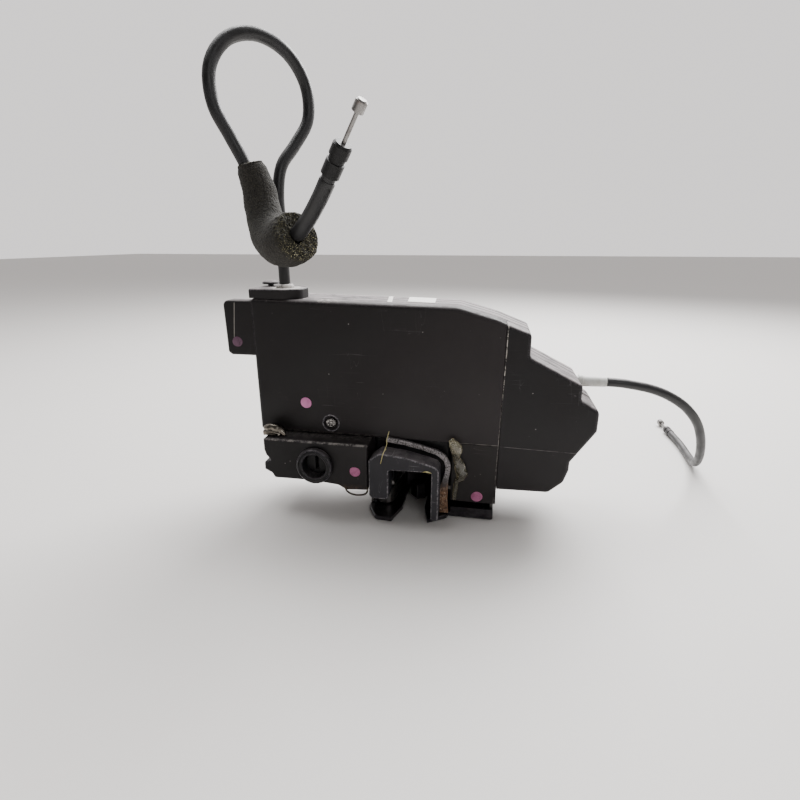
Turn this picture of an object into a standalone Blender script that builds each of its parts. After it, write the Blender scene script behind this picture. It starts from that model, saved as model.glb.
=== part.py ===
"""Vehicle side-door latch: plastic housing with lock motor, steel striker mouth, rotary claw and two Bowden cables.

Dimensions are millimetres in the helpers and metres in Blender; +Z up, the front faces -Y.
"""
import math

import bmesh
import bpy
import numpy as np
from mathutils import Matrix, Vector

MM = 0.001
MIDDLE = (3.565, 15.85)   # centre of the body in width and depth, so the origin sits under it
GAP = 0.3                 # clearance between neighbouring pieces
WALL = 2.2                # housing wall
COVER_DEPTH = 12.0        # depth of the front and side covers
HOUSING_BACK = 37.0       # back face of the rear housing
CARRIER_FRONT = -12.0     # front face of the lower-left carrier
CARRIER_BACK = 30.0
GUARD_FRONT = -14.0       # front face of the mouth guard
BODY_BACK = 48.0          # back face of the latch body
PLATE = 2.5               # mounting plate thickness
BACK_PLATE = (15.2, 17.4)
CLAW_AXIS = (24.0, 29.0)
PAWL_AXIS = (-12.0, 7.0)
SOCKET_AXIS = (-48.0, 31.5)
WHEEL_AXIS = (-33.0, 85.6)
MOTOR_AXIS = (20.5, 103.0)
LOCK_AXIS = (-5.0, 75.0)
RELEASE_AXIS = (34.0, 66.0)
INSIDE_AXIS = (-54.0, 60.0)

COLOURS = {
    "black_plastic": ((0.020, 0.018, 0.019), 0.0, 0.45),
    "glass_filled_plastic": ((0.030, 0.030, 0.032), 0.0, 0.55),
    "steel": ((0.42, 0.41, 0.40), 1.0, 0.38),
    "worn_steel": ((0.30, 0.28, 0.26), 1.0, 0.5),
    "white_plastic": ((0.72, 0.72, 0.70), 0.0, 0.4),
    "brass": ((0.62, 0.47, 0.22), 1.0, 0.35),
    "rubber": ((0.025, 0.025, 0.025), 0.0, 0.7),
    "foam": ((0.055, 0.052, 0.040), 0.0, 0.9),
    "paper": ((0.80, 0.79, 0.76), 0.0, 0.6),
    "board": ((0.05, 0.16, 0.08), 0.0, 0.5),
}

for old in list(bpy.data.objects):
    bpy.data.objects.remove(old, do_unlink=True)


def material(name):
    found = bpy.data.materials.get(name)
    if found:
        return found
    colour, metallic, roughness = COLOURS[name]
    made = bpy.data.materials.new(name)
    made.use_nodes = True
    shader = made.node_tree.nodes["Principled BSDF"]
    shader.inputs["Base Color"].default_value = (*colour, 1.0)
    shader.inputs["Metallic"].default_value = metallic
    shader.inputs["Roughness"].default_value = roughness
    made.diffuse_color = (*colour, 1.0)
    return made


def world(x, y, z):
    return Vector(((x - MIDDLE[0]) * MM, (y - MIDDLE[1]) * MM, z * MM))


def rounded(points, step=23.0):
    """Outline with arcs: each point is (a, b) or (a, b, radius)."""
    result = []
    count = len(points)
    for i, point in enumerate(points):
        here = Vector(point[:2])
        radius = point[2] if len(point) > 2 else 0.0
        before = Vector(points[i - 1][:2]) - here
        after = Vector(points[(i + 1) % count][:2]) - here
        if radius <= 0.0:
            result.append(tuple(here))
            continue
        corner = before.angle(after)
        reach = radius / math.tan(corner / 2)
        reach = min(reach, 0.48 * before.length, 0.48 * after.length)
        radius = reach * math.tan(corner / 2)
        before.normalize()
        after.normalize()
        centre = here + (before + after).normalized() * (radius / math.sin(corner / 2))
        first = here + before * reach - centre
        last = here + after * reach - centre
        turn = first.angle_signed(last)
        steps = max(1, math.ceil(abs(math.degrees(turn)) / step))
        for k in range(steps + 1):
            angle = -turn * k / steps
            spun = Matrix.Rotation(angle, 2) @ first
            result.append(tuple(centre + spun))
    return result


def inset(points, amount):
    """The outline moved inward by amount (outline corners anticlockwise)."""
    area = sum(points[i - 1][0] * points[i][1] - points[i][0] * points[i - 1][1] for i in range(len(points)))
    ring = points if area > 0 else points[::-1]
    result = []
    for i, point in enumerate(ring):
        here = Vector(point[:2])
        before = (here - Vector(ring[i - 1][:2])).normalized()
        after = (Vector(ring[(i + 1) % len(ring)][:2]) - here).normalized()
        normal_a = Vector((-before.y, before.x))
        normal_b = Vector((-after.y, after.x))
        bisector = (normal_a + normal_b).normalized()
        moved = here + bisector * (amount / max(0.35, bisector.dot(normal_a)))
        radius = point[2] if len(point) > 2 else 0.0
        result.append((moved.x, moved.y, max(0.0, radius - amount)))
    return result


def circle(a, b, radius, count=28):
    return [(a + radius * math.cos(2 * math.pi * i / count), b + radius * math.sin(2 * math.pi * i / count))
            for i in range(count)]


def box(a_low, a_high, b_low, b_high, radius=0.0):
    return [(a_low, b_low, radius), (a_high, b_low, radius), (a_high, b_high, radius), (a_low, b_high, radius)]


def finish(name, mesh, colour, pivot=None, smooth_angle=35.0):
    mesh.polygons.foreach_set("use_smooth", [True] * len(mesh.polygons))
    mesh.set_sharp_from_angle(angle=math.radians(smooth_angle))
    piece = bpy.data.objects.new(name, mesh)
    bpy.context.scene.collection.objects.link(piece)
    if colour:
        mesh.materials.append(material(colour))
    if pivot:
        spot = world(*pivot)
        mesh.transform(Matrix.Translation(-spot))
        piece.location = spot
    return piece


def prism(name, outline, low, high, axis, colour, pivot=None, round_edge=0.0):
    """Closed prism: the outline lies in (x, z) for axis Y, (x, y) for Z, (y, z) for X."""
    def spot(a, b, along):
        if axis == "Y":
            return world(a, along, b)
        if axis == "Z":
            return world(a, b, along)
        return world(along, a, b)
    if round_edge:
        outline = [(*p[:2], p[2] if len(p) > 2 and p[2] > 1.2 * round_edge else 0.0) for p in outline]
    flat = rounded(outline)
    form = bmesh.new()
    bottom = [form.verts.new(spot(a, b, low)) for a, b in flat]
    top = [form.verts.new(spot(a, b, high)) for a, b in flat]
    form.faces.new(bottom)
    form.faces.new(top)
    for i in range(len(flat)):
        form.faces.new((bottom[i - 1], bottom[i], top[i], top[i - 1]))
    bmesh.ops.recalc_face_normals(form, faces=form.faces)
    mesh = bpy.data.meshes.new(name)
    form.to_mesh(mesh)
    form.free()
    piece = finish(name, mesh, colour, pivot)
    if round_edge:
        bevel = piece.modifiers.new("edge", "BEVEL")
        bevel.width = round_edge * MM
        bevel.segments = 1
        bevel.limit_method = "ANGLE"
        bevel.angle_limit = math.radians(50)
    return piece


def lathe(name, profile, centre, axis, colour, pivot=None, count=24):
    """Turned piece: profile is (radius, along) from one end to the other; ends are closed at the axis."""
    rows = len(profile)
    form = bmesh.new()
    rings = []
    for radius, along in profile:
        ring = []
        for i in range(count):
            angle = 2 * math.pi * i / count
            a = radius * math.cos(angle)
            b = radius * math.sin(angle)
            if axis == "Y":
                ring.append(form.verts.new(world(centre[0] + a, along, centre[1] + b)))
            elif axis == "Z":
                ring.append(form.verts.new(world(centre[0] + a, centre[1] + b, along)))
            else:
                ring.append(form.verts.new(world(along, centre[0] + a, centre[1] + b)))
        rings.append(ring)
    for k in range(rows - 1):
        for i in range(count):
            form.faces.new((rings[k][i - 1], rings[k][i], rings[k + 1][i], rings[k + 1][i - 1]))
    form.faces.new(rings[0])
    form.faces.new(rings[-1])
    bmesh.ops.recalc_face_normals(form, faces=form.faces)
    mesh = bpy.data.meshes.new(name)
    form.to_mesh(mesh)
    form.free()
    return finish(name, mesh, colour, pivot)


def combine(target, tool, operation):
    """Boolean step; the tool is hidden."""
    tool.hide_render = True
    tool.display_type = "WIRE"
    step = target.modifiers.new(tool.name, "BOOLEAN")
    step.operation = operation
    step.solver = "EXACT"
    step.object = tool


def cut(target, *tools):
    for tool in tools:
        combine(target, tool, "DIFFERENCE")


def join(target, *tools):
    for tool in tools:
        combine(target, tool, "UNION")


def smooth_route(points, spacing):
    """Catmull-Rom curve through the route points, sampled at even spacing."""
    ring = [np.array(p, float) for p in points]
    ring = [2 * ring[0] - ring[1], *ring, 2 * ring[-1] - ring[-2]]
    dense = []
    for i in range(1, len(ring) - 2):
        p0, p1, p2, p3 = ring[i - 1:i + 3]
        for t in np.linspace(0, 1, 20, endpoint=False):
            dense.append(0.5 * (2 * p1 + (p2 - p0) * t + (2 * p0 - 5 * p1 + 4 * p2 - p3) * t ** 2
                                + (3 * p1 - p0 - 3 * p2 + p3) * t ** 3))
    dense.append(ring[-2])
    dense = np.array(dense)
    run = np.concatenate([[0], np.cumsum(np.linalg.norm(np.diff(dense, axis=0), axis=1))])
    count = max(2, round(run[-1] / spacing) + 1)
    places = np.linspace(0, run[-1], count)
    return [tuple(np.interp(s, run, dense[:, k]) for k in range(3)) for s in places]


def cord(name, points, diameter, colour, resolution=2):
    curve = bpy.data.curves.new(name, "CURVE")
    curve.dimensions = "3D"
    curve.bevel_depth = diameter / 2 * MM
    curve.bevel_resolution = resolution
    curve.use_fill_caps = True
    curve.resolution_u = 1
    curve.render_resolution_u = 0
    line = curve.splines.new("POLY")
    line.points.add(len(points) - 1)
    for spot, point in zip(line.points, points):
        spot.co = (*world(*point), 1.0)
    curve.materials.append(material(colour))
    piece = bpy.data.objects.new(name, curve)
    bpy.context.scene.collection.objects.link(piece)
    return piece


def sleeve(name, route, radii, bore, colour, count=16):
    """Tube along a route: outer radius from radii at each route point, with a bore right through."""
    spots = [world(*p) for p in route]
    form = bmesh.new()
    outer = []
    inner = []
    side = None
    for i, spot in enumerate(spots):
        ahead = (spots[min(i + 1, len(spots) - 1)] - spots[max(i - 1, 0)]).normalized()
        if side is None:
            side = ahead.orthogonal().normalized()
        side = (side - ahead * side.dot(ahead)).normalized()
        over = ahead.cross(side)
        for rings, radius in ((outer, radii[i] * MM), (inner, bore * MM)):
            rings.append([form.verts.new(spot + (side * math.cos(2 * math.pi * k / count)
                                                 + over * math.sin(2 * math.pi * k / count)) * radius)
                          for k in range(count)])
    for rings in (outer, inner):
        for i in range(len(rings) - 1):
            for k in range(count):
                form.faces.new((rings[i][k - 1], rings[i][k], rings[i + 1][k], rings[i + 1][k - 1]))
    for i in (0, -1):
        for k in range(count):
            form.faces.new((outer[i][k - 1], outer[i][k], inner[i][k], inner[i][k - 1]))
    bmesh.ops.recalc_face_normals(form, faces=form.faces)
    mesh = bpy.data.meshes.new(name)
    form.to_mesh(mesh)
    form.free()
    return finish(name, mesh, colour)


def along(start, end, share):
    return tuple(start[k] + (end[k] - start[k]) * share for k in range(3))


def polar(centre, radius, degrees):
    return (centre[0] + radius * math.cos(math.radians(degrees)), centre[1] + radius * math.sin(math.radians(degrees)))


# Main housing: front cover, side cover and the rear tray behind both.
MAIN_OUTLINE = [(-85, 45.2, 1.5), (51.55, 45.2, 0.5), (51.55, 111.2, 0), (47.2, 113, 3), (27.2, 118.6, 6),
                (-85, 121, 1)]
LOBE_OUTLINE = [(52.0, 18.9, 0), (79.6, 19.5, 4), (87.0, 26.4, 5), (89.2, 33.6, 3), (89.2, 38.4, 2), (100.9, 56.7, 3), (100.9, 68, 4),
                (91.4, 73.2, 1), (91.4, 81.1, 3), (64.4, 94.7, 1.5), (64.4, 106.4, 3), (52.0, 110.9, 0)]
HOUSING_OUTLINE = [(-85, 45.2, 1.5), (52.0, 45.2, 0), (52.0, 18.9, 1), (79.6, 19.5, 4), (87.0, 26.4, 5), (89.2, 33.6, 3), (89.2, 38.4, 2),
                   (100.9, 56.7, 3), (100.9, 68, 4), (91.4, 73.2, 1), (91.4, 81.1, 3), (64.4, 94.7, 1.5),
                   (64.4, 106.4, 3), (47.2, 113, 3), (27.2, 118.6, 6), (-85, 121, 1)]
EAR_OUTLINE = [(-83.6, 89.4, 0), (-83.6, 119.6, 0), (-100.9, 119.6, 3), (-100.6, 91, 1), (-98.5, 89.4, 1.2)]
ear = prism("ear_shape", EAR_OUTLINE, 0.06, 9.0, "Y", None)
front_cover = prism("front_cover", MAIN_OUTLINE, 0.0, COVER_DEPTH, "Y", "black_plastic", round_edge=1.2)
cover_room = prism("cover_room", inset(MAIN_OUTLINE, WALL), WALL, COVER_DEPTH + 5, "Y", None)
cover_screw_recess = prism("cover_screw_recess", circle(-42.1, 52.1, 4.4, 24), -2, 1.4, "Y", None)
cut(front_cover, cover_room, cover_screw_recess)
join(front_cover, ear)

side_cover = prism("side_cover", LOBE_OUTLINE, 0.0, COVER_DEPTH, "Y", "black_plastic", round_edge=1.2)
side_room = prism("side_room", inset(LOBE_OUTLINE, WALL), WALL, COVER_DEPTH + 5, "Y", None)
cut(side_cover, side_room)

rear_housing = prism("rear_housing", HOUSING_OUTLINE, COVER_DEPTH + GAP, HOUSING_BACK, "Y", "black_plastic",
                     round_edge=1.2)
rear_room = prism("rear_room", inset(HOUSING_OUTLINE, WALL), COVER_DEPTH - 5, HOUSING_BACK - WALL, "Y", None)
release_hole = prism("release_hole", circle(26, 76.8, 3.5, 24), 80, 100, "X", None)
connector_hole = prism("connector_hole", box(14.3, 27.7, 97.3, 108.7, 1), -90, -80, "X", None)
boss_hole = prism("boss_hole", circle(-68, 15, 3.4, 20), 110, 130, "Z", None)
cut(rear_housing, rear_room, release_hole, connector_hole, boss_hole)

# Connector socket on the left end, open towards -X.
connector_housing = prism("connector_housing", box(11.5, 31, 93.5, 112.5, 1.5), -100.3, -85.3, "X", "black_plastic",
                          round_edge=0.6)
connector_room = prism("connector_room", box(13.5, 29, 95.5, 110.5, 1), -104, -87.5, "X", None)
cut(connector_housing, connector_room)
terminal_block = prism("terminal_block", box(14.6, 27.4, 97.6, 108.4, 0.8), -87.2, -79.5, "X",
                       "glass_filled_plastic")
connector_back = prism("connector_back", box(14.3, 27.7, 97.3, 108.7, 1), -90, -84, "X", None)
cut(connector_housing, connector_back)
for row in range(2):
    for column in range(4):
        pin = prism(f"pin_shape_{row}_{column}",
                    box(16.0 + 3.0 * column, 16.8 + 3.0 * column, 100.2 + 5.0 * row, 101.0 + 5.0 * row),
                    -94.5, -86.0, "X", None)
        join(terminal_block, pin)

# Boss on top of the left end, the cable's collar and the clip beside it.
BOSS_OUTLINE = [(-85.6, 0.3, 2), (-66.5, 0.3, 4), (-57.6, 6.5, 5), (-57.6, 19, 6), (-66, 25, 5), (-85.6, 25, 2)]
cable_boss = prism("cable_boss", BOSS_OUTLINE, 121.2, 126.0, "Z", "black_plastic", round_edge=1.0)
handle_gland = lathe("handle_cable_gland", [(4.8, 126.3), (4.8, 127.2), (4.3, 127.8), (3.8, 128.1)],
                     (-68, 9.6), "Z", "glass_filled_plastic")
gland_bore = prism("gland_bore", circle(-68, 9.6, 3.3, 24), 120, 140, "Z", None)
cut(handle_gland, gland_bore)
cable_clip = lathe("cable_clip", [(1.6, 126.3), (1.6, 127.0), (4.85, 127.4), (4.4, 128.6), (2.4, 129.4)],
                   (-80.3, 18.5), "Z", "black_plastic", count=24)

# Lower-left carrier with the key socket.
CARRIER_OUTLINE = [(-78.6, 44.9, 1), (-78.6, 38, 1), (-77.7, 34.9, 1), (-74.9, 31.4, 0.6), (-79, 30.4, 1),
                   (-79.1, 25.8, 1), (-75, 23.7, 1), (-73.3, 20.8, 1.5), (-51.8, 21, 3), (-35.5, 19.6, 3),
                   (-31, 17.1, 2), (-18.2, 18, 1), (-18.2, 44.9, 1)]
carrier = prism("lower_carrier", CARRIER_OUTLINE, CARRIER_FRONT, CARRIER_BACK, "Y", "black_plastic", round_edge=1.0)
carrier_room = prism("carrier_room", inset(CARRIER_OUTLINE, WALL), CARRIER_FRONT + 2.5, CARRIER_BACK + 5, "Y", None)
socket_bore = prism("socket_bore", circle(*SOCKET_AXIS, 8.9, 32), -20, 20, "Y", None)
cut(carrier, carrier_room, socket_bore)
carrier_back = prism("carrier_back_cover", inset(CARRIER_OUTLINE, 0.2), CARRIER_BACK + GAP, CARRIER_BACK + 3, "Y",
                     "black_plastic", round_edge=0.6)
key_socket = lathe("key_socket", [(8.6, -6.0), (8.6, -12.2), (10.3, -12.3), (10.3, -15.6), (9.6, -16.3),
                                  (8.8, -16.3)], SOCKET_AXIS, "Y", "glass_filled_plastic", count=32)
socket_hole = prism("socket_hole", circle(*SOCKET_AXIS, 6.9, 32), -20, -3, "Y", None)
cut(key_socket, socket_hole)
key_cam = lathe("key_cam", [(6.4, -9.5), (6.4, 4.0), (3.0, 4.3), (3.0, 20.0)], SOCKET_AXIS, "Y", "black_plastic",
                pivot=(SOCKET_AXIS[0], 0, SOCKET_AXIS[1]), count=24)
cam_slot = prism("cam_slot", box(-49.0, -47.0, 27.2, 35.8, 0.6), -20, -5.5, "Y", None)
cut(key_cam, cam_slot)
corner_lug = prism("corner_lug", [(-82, 45.0, 0.8), (-82.2, 49.6, 2), (-71, 49.6, 2), (-69.5, 46.2, 1),
                                  (-69.5, 45.0, 0.4)], -9.5, -0.3, "Y", "worn_steel", round_edge=0.5)

# Screws.
recess_points = [(1.9, 60 * k) for k in range(6)]


def screw(name, x, z, head_y, direction, head=3.0):
    shank = lathe(name, [(1.5, head_y + direction * 6), (1.5, head_y + direction * 1.7),
                         (head, head_y + direction * 1.6), (head, head_y + direction * 0.4),
                         (head * 0.8, head_y)], (x, z), "Y", "steel", count=14)
    star = [polar((x, z), radius, angle) for radius, angle in recess_points]
    ends = sorted((head_y - direction * 1.0, head_y + direction * 1.1))
    cut(shank, prism(name + "_drive", star, ends[0], ends[1], "Y", None))


screw_hole = prism("front_screw_hole", circle(-42.1, 52.1, 1.8, 20), -3, 5, "Y", None)
cut(front_cover, screw_hole)
screw("front_screw", -42.1, 52.1, -0.3, 1)
REAR_SCREWS = [(-78, 112), (-20, 112), (58, 100), (94, 62), (82, 28), (-78, 53)]
for number, (x, z) in enumerate(REAR_SCREWS, 1):
    cut(rear_housing, prism(f"rear_screw_hole_{number}", circle(x, z, 1.8, 20), 30, 40, "Y", None))
    screw(f"rear_screw_{number}", x, z, HOUSING_BACK + 2.0, -1)

# Latch body, right-hand cover, plates, collar and guard.
latch_body = prism("latch_body", box(-17.5, 25.7, 3.0, BODY_BACK, 2), 17.7, 44.8, "Z", "glass_filled_plastic",
                   round_edge=0.8)
striker_tunnel = prism("striker_tunnel", [(-6.3, 14), (-6.3, 32.6, 2), (17.1, 32.6, 2), (17.1, 14)], -5, 38, "Y", None)
cut(latch_body, striker_tunnel)
lower_cover = prism("lower_cover", box(26.2, 51.3, 0.0, 46.0, 1.2), 17.7, 44.8, "Z", "black_plastic", round_edge=0.8)
lower_skirt = prism("lower_skirt", box(27.2, 50.9, 0.3, 2.6, 0), 9.7, 20.0, "Z", None)
lower_room = prism("lower_room", box(28.4, 49.1, 2.4, 43.8), 10, 42.6, "Z", None)
cut(lower_cover, lower_room)
join(lower_cover, lower_skirt)

FOOTPRINT = [(-20.4, 47, 3), (-20.4, -0.9, 2), (-14.4, -11.9, 3), (-4.6, -12.7, 2), (15, -10.7, 2), (25.1, -3.8, 2),
             (26.1, -0.6, 1), (51.0, -0.6, 1), (51.0, 47, 3)]
mounting_plate = prism("mounting_plate", FOOTPRINT, 0.0, PLATE, "Z", "steel", round_edge=0.4)
front_lip = prism("front_lip", box(27.0, 50.8, 2.0, 6.2, 0), -0.4, 1.8, "Y", None)
slot = prism("striker_slot", [(-7.5, -20), (-1.2, 2, 4), (-1.2, 36, 6.4), (12.0, 36, 6.4), (12.0, 2, 4), (17.5, -20)],
             -2, 5, "Z", None)
join(mounting_plate, front_lip)
cut(mounting_plate, slot)
for name, (x, y) in (("claw_hole", CLAW_AXIS), ("pawl_hole", PAWL_AXIS)):
    cut(mounting_plate, prism(name, circle(x, y, 4.3, 24), -2, 5, "Z", None))
for number, (x, y) in enumerate([(-14, 40), (43, 40), (43, 8)], 1):
    cut(mounting_plate, prism(f"fixing_hole_{number}", circle(x, y, 3.2, 24), -2, 5, "Z", None))
back_plate = prism("back_plate", box(-17.0, 50.6, 3.2, 45.6, 2), *BACK_PLATE, "Z", "steel")
back_slot = prism("back_slot", [(-6.3, -20), (-6.3, 37, 6), (17.1, 37, 6), (17.1, -20)], 10, 20, "Z", None)
cut(back_plate, back_slot)
for name, (x, y) in (("claw_hole_b", CLAW_AXIS), ("pawl_hole_b", PAWL_AXIS)):
    cut(back_plate, prism(name, circle(x, y, 4.3, 24), 10, 20, "Z", None))

CHAMBER = [(-20.2, 3.2), (-18.6, 3.2), (-18.6, 45.0, 1), (49.0, 45.0, 1), (49.0, 3.2), (50.6, 3.2), (50.6, 46.6, 2.5),
           (-20.2, 46.6, 2.5)]
prism("chamber_wall", CHAMBER, PLATE + GAP, BACK_PLATE[0] - GAP, "Z", "steel")

COLLAR_OUTER = [(-9.6, 46.8, 0), (0.8, 45.4, 2), (9.6, 43.5, 4), (19, 41.0, 4), (23.8, 38.4, 4), (26.3, 33.6, 3),
                (26.5, 30.0, 3), (25.4, 22.6, 2), (25.2, 11.3, 1), (25.9, 2.9, 0)]
COLLAR_INNER = [(22.6, 2.9, 0), (22.3, 8.9, 1), (22.1, 21, 2), (22.8, 26.5, 3), (23.6, 31.4, 3), (22.6, 35.0, 3),
                (18.6, 38.2, 4), (9.8, 40.8, 4), (0.4, 42.7, 2), (-9.6, 44.0, 0)]
mouth_collar = prism("mouth_collar", COLLAR_OUTER + COLLAR_INNER, -2.6, -0.2, "Y", "worn_steel", round_edge=0.4)
GUARD_OUTLINE = [(-17.3, 14.5, 3), (-17.3, 37.3, 1.5), (-11.4, 41.8, 1.5), (-8.3, 41.6, 1.5), (2.1, 40.6, 2),
                 (14.8, 37.6, 2), (19.2, 36.2, 1.5), (21.2, 34.0, 1.5), (21.2, 4.0, 1.5), (17.1, 4.0, 0.8),
                 (17.1, 32.8, 1.5), (-6.3, 32.2, 1.5), (-6.3, 14.5, 2)]
mouth_guard = prism("mouth_guard", GUARD_OUTLINE, GUARD_FRONT, -2.9, "Y", "glass_filled_plastic", round_edge=0.8)
striker_buffer = prism("striker_buffer", box(-5.4, 16.2, 38.5, 44.5, 1.5), 18.6, 31.6, "Z", "rubber")
buffer_room = prism("buffer_room", box(-5.9, 16.7, 37.5, 45.0, 1.5), 17, 32.1, "Z", None)
cut(latch_body, buffer_room)

# Claw, pawl and their rivets.
claw_outline = [polar(CLAW_AXIS, 14.5, a) for a in range(-140, 151, 15)]
claw_outline += [polar(CLAW_AXIS, r, a) for r, a in
                 ((20, 156), (26.5, 158), (28.2, 164), (28.2, 184), (26.5, 187), (21, 187.5), (14.5, 190), (11.8, 196),
                  (11.6, 202), (14.5, 207), (20, 207.5), (24.5, 208), (26.3, 212), (26.3, 228), (22, 233), (16, 228))]
claw = prism("claw", claw_outline, 3.2, 12.6, "Z", "steel", pivot=(*CLAW_AXIS, 3.2), round_edge=0.5)
cut(claw, prism("claw_bore", circle(*CLAW_AXIS, 4.3, 24), 0, 20, "Z", None))
lathe("claw_pivot", [(4.0, 0.3), (4.0, 18.3), (3.2, 18.8)], CLAW_AXIS, "Z", "steel")
pawl_outline = [polar(PAWL_AXIS, 5.6, a) for a in range(110, 361, 25)]
pawl_outline += [(-5.8, 13.0), (-4.9, 19.5), (-4.4, 24.6), (-5.4, 26.4), (-9.4, 26.0), (-12.0, 19.0), (-13.8, 13.0)]
pawl = prism("pawl", pawl_outline, 3.2, 12.6, "Z", "steel", pivot=(*PAWL_AXIS, 3.2), round_edge=0.4)
cut(pawl, prism("pawl_bore", circle(*PAWL_AXIS, 4.3, 24), 0, 20, "Z", None))
lathe("pawl_pivot", [(4.0, 0.3), (4.0, 18.3), (3.2, 18.8)], PAWL_AXIS, "Z", "steel")
claw_spring_path = [(CLAW_AXIS[0] + 6.6 * math.cos(math.radians(a)), CLAW_AXIS[1] + 6.6 * math.sin(math.radians(a)),
                     19.4 + 2.4 * a / 360) for a in range(0, 1081, 30)]
cut(latch_body, prism("spring_room", circle(*CLAW_AXIS, 8.5, 32), 16, 29, "Z", None))
cut(lower_cover, prism("spring_room_side", circle(*CLAW_AXIS, 8.5, 32), 10, 29, "Z", None))
cut(latch_body, prism("pawl_rivet_room", circle(*PAWL_AXIS, 4.4, 24), 16, 20, "Z", None))
cord("claw_spring", claw_spring_path, 1.4, "steel", resolution=1)

# Lock drive inside the housing.
motor_outline = [polar(MOTOR_AXIS, 10.2, a) for a in range(-49, 50, 14)]
motor_outline += [polar(MOTOR_AXIS, 10.2, a) for a in range(131, 230, 14)]
lock_motor = prism("lock_motor", motor_outline, -68.0, -42.0, "X", "steel", round_edge=0.8)
rows = 30
columns = 10
worm_form = bmesh.new()
worm_rings = []
for i in range(rows):
    x = -41.6 + 17.6 * i / (rows - 1)
    ring = []
    for k in range(columns):
        angle = 2 * math.pi * k / columns
        wave = math.cos(2 * math.pi * (x + 41.6) / 3.0 - angle)
        radius = 3.0 + 0.5 * wave
        ring.append(worm_form.verts.new(world(x, MOTOR_AXIS[0] + radius * math.cos(angle),
                                              MOTOR_AXIS[1] + radius * math.sin(angle))))
    worm_rings.append(ring)
for i in range(rows - 1):
    for k in range(columns):
        worm_form.faces.new((worm_rings[i][k - 1], worm_rings[i][k], worm_rings[i + 1][k], worm_rings[i + 1][k - 1]))
worm_form.faces.new(worm_rings[0])
worm_form.faces.new(worm_rings[-1])
bmesh.ops.recalc_face_normals(worm_form, faces=worm_form.faces)
worm_mesh = bpy.data.meshes.new("motor_worm")
worm_form.to_mesh(worm_mesh)
worm_form.free()
finish("motor_worm", worm_mesh, "brass", pivot=(-32, *MOTOR_AXIS))
gear = []
TEETH = 28
for k in range(TEETH):
    base = 360 / TEETH * k
    gear += [polar(WHEEL_AXIS, r, base + 360 / TEETH * t) for r, t in ((12.0, 0.0), (12.0, 0.35), (13.4, 0.5),
                                                                       (13.4, 0.85))]
worm_wheel = prism("worm_wheel", gear, 17.0, 24.0, "Y", "white_plastic", pivot=(WHEEL_AXIS[0], 20.5, WHEEL_AXIS[1]))
cut(worm_wheel, prism("wheel_bore", circle(*WHEEL_AXIS, 2.3, 20), 10, 30, "Y", None))
lathe("wheel_axle", [(2.0, 15.0), (2.0, 34.5)], WHEEL_AXIS, "Y", "steel", count=20)


def lever(name, centre, tips, low, high, hub, colour):
    """Flat lever: hub disc with a tapering arm to each tip (x, z, tip radius)."""
    piece = prism(name, circle(*centre, hub, 28), low, high, "Y", colour, pivot=(centre[0], low, centre[1]))
    for number, (x, z, tip) in enumerate(tips, 1):
        heading = math.degrees(math.atan2(z - centre[1], x - centre[0]))
        arm = [polar(centre, hub * 0.86, heading - 90)]
        arm += [polar((x, z), tip, heading + a) for a in range(-90, 91, 30)]
        arm += [polar(centre, hub * 0.86, heading + 90)]
        join(piece, prism(f"{name}_arm_{number}", arm, low, high, "Y", None, pivot=(centre[0], low, centre[1])))
    bore = prism(name + "_bore", circle(*centre, 2.4, 20), low - 5, high + 5, "Y", None)
    cut(piece, bore)
    lathe(name + "_pin", [(2.1, low - 3), (2.1, 34.5)], centre, "Y", "steel", count=20)
    return piece


lever("lock_lever", LOCK_AXIS, [(-22, 68, 3), (8, 88, 3)], 26.0, 28.0, 5, "steel")
lever("release_lever", RELEASE_AXIS, [(42, 92, 3.4), (24, 52, 3.4)], 23.4, 25.4, 6, "steel")
lever("inside_lever", INSIDE_AXIS, [(-68, 84, 3.2), (-40, 56, 3)], 12.0, 14.0, 5, "steel")
leadframe = prism("leadframe", [(-70, 63, 1), (-70, 78, 1), (-20, 78, 1), (-8, 64, 1), (-8, 54, 1), (-30, 54, 1)],
                  4.0, 5.4, "Y", "board")
lock_switch = prism("lock_switch", box(-30, -17, 66, 73, 0.6), 5.7, 11.0, "Y", "black_plastic")
cut(lock_switch, prism("button_bore", circle(-23.5, 69.5, 1.6, 16), 7.6, 14.0, "Y", None))
prism("switch_button", circle(-23.5, 69.5, 1.25, 16), 9.2, 13.2, "Y", "white_plastic", pivot=(-23.5, 9.2, 69.5))

# Blank label on the top face.
label = prism("label", [(-0.8, 14.1, 0.6), (14.2, 13.4, 0.6), (12.6, 34.6, 0.6), (-3.2, 34.9, 0.6)], 0, 1, "Z", "paper")
slope = (121.0 - 118.6) / 112.2
top_at = 121.0 - slope * 85.0
for vertex in label.data.vertices:
    x = vertex.co.x / MM + MIDDLE[0]
    vertex.co.z = (top_at - slope * x + (0.1 if vertex.co.z < 0.0005 else 0.3)) * MM

# Inside-handle cable: rises from the boss, arches over and comes back down to its end fitting.
HANDLE_ROUTE = [(-68, 9.6, 126.6), (-68, 9.6, 142), (-68, 9.6, 158), (-68, 9.6, 174), (-66.1, 11.7, 186.8),
                (-60.6, 17.6, 197.1), (-55, 23.7, 210), (-55.4, 23.2, 225.4), (-61.7, 16.4, 237.6),
                (-71.7, 5.6, 242.2), (-81.2, -5.2, 237.6), (-87.2, -12, 225.4), (-86.8, -13.2, 210),
                (-81.6, -10.2, 197.1), (-76.4, -7.6, 185.0), (-73.4, -6.4, 174.0), (-71.6, -7.6, 164.6),
                (-68.2, -10.4, 156.8), (-63.2, -14.6, 151.8), (-57.2, -19.2, 149.6), (-50.8, -23.8, 150.0),
                (-44.8, -28.0, 152.6), (-39.2, -31.6, 156.8), (-33.8, -35.0, 162.2), (-28.4, -38.4, 168.6),
                (-23.4, -41.6, 175.4)]
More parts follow.
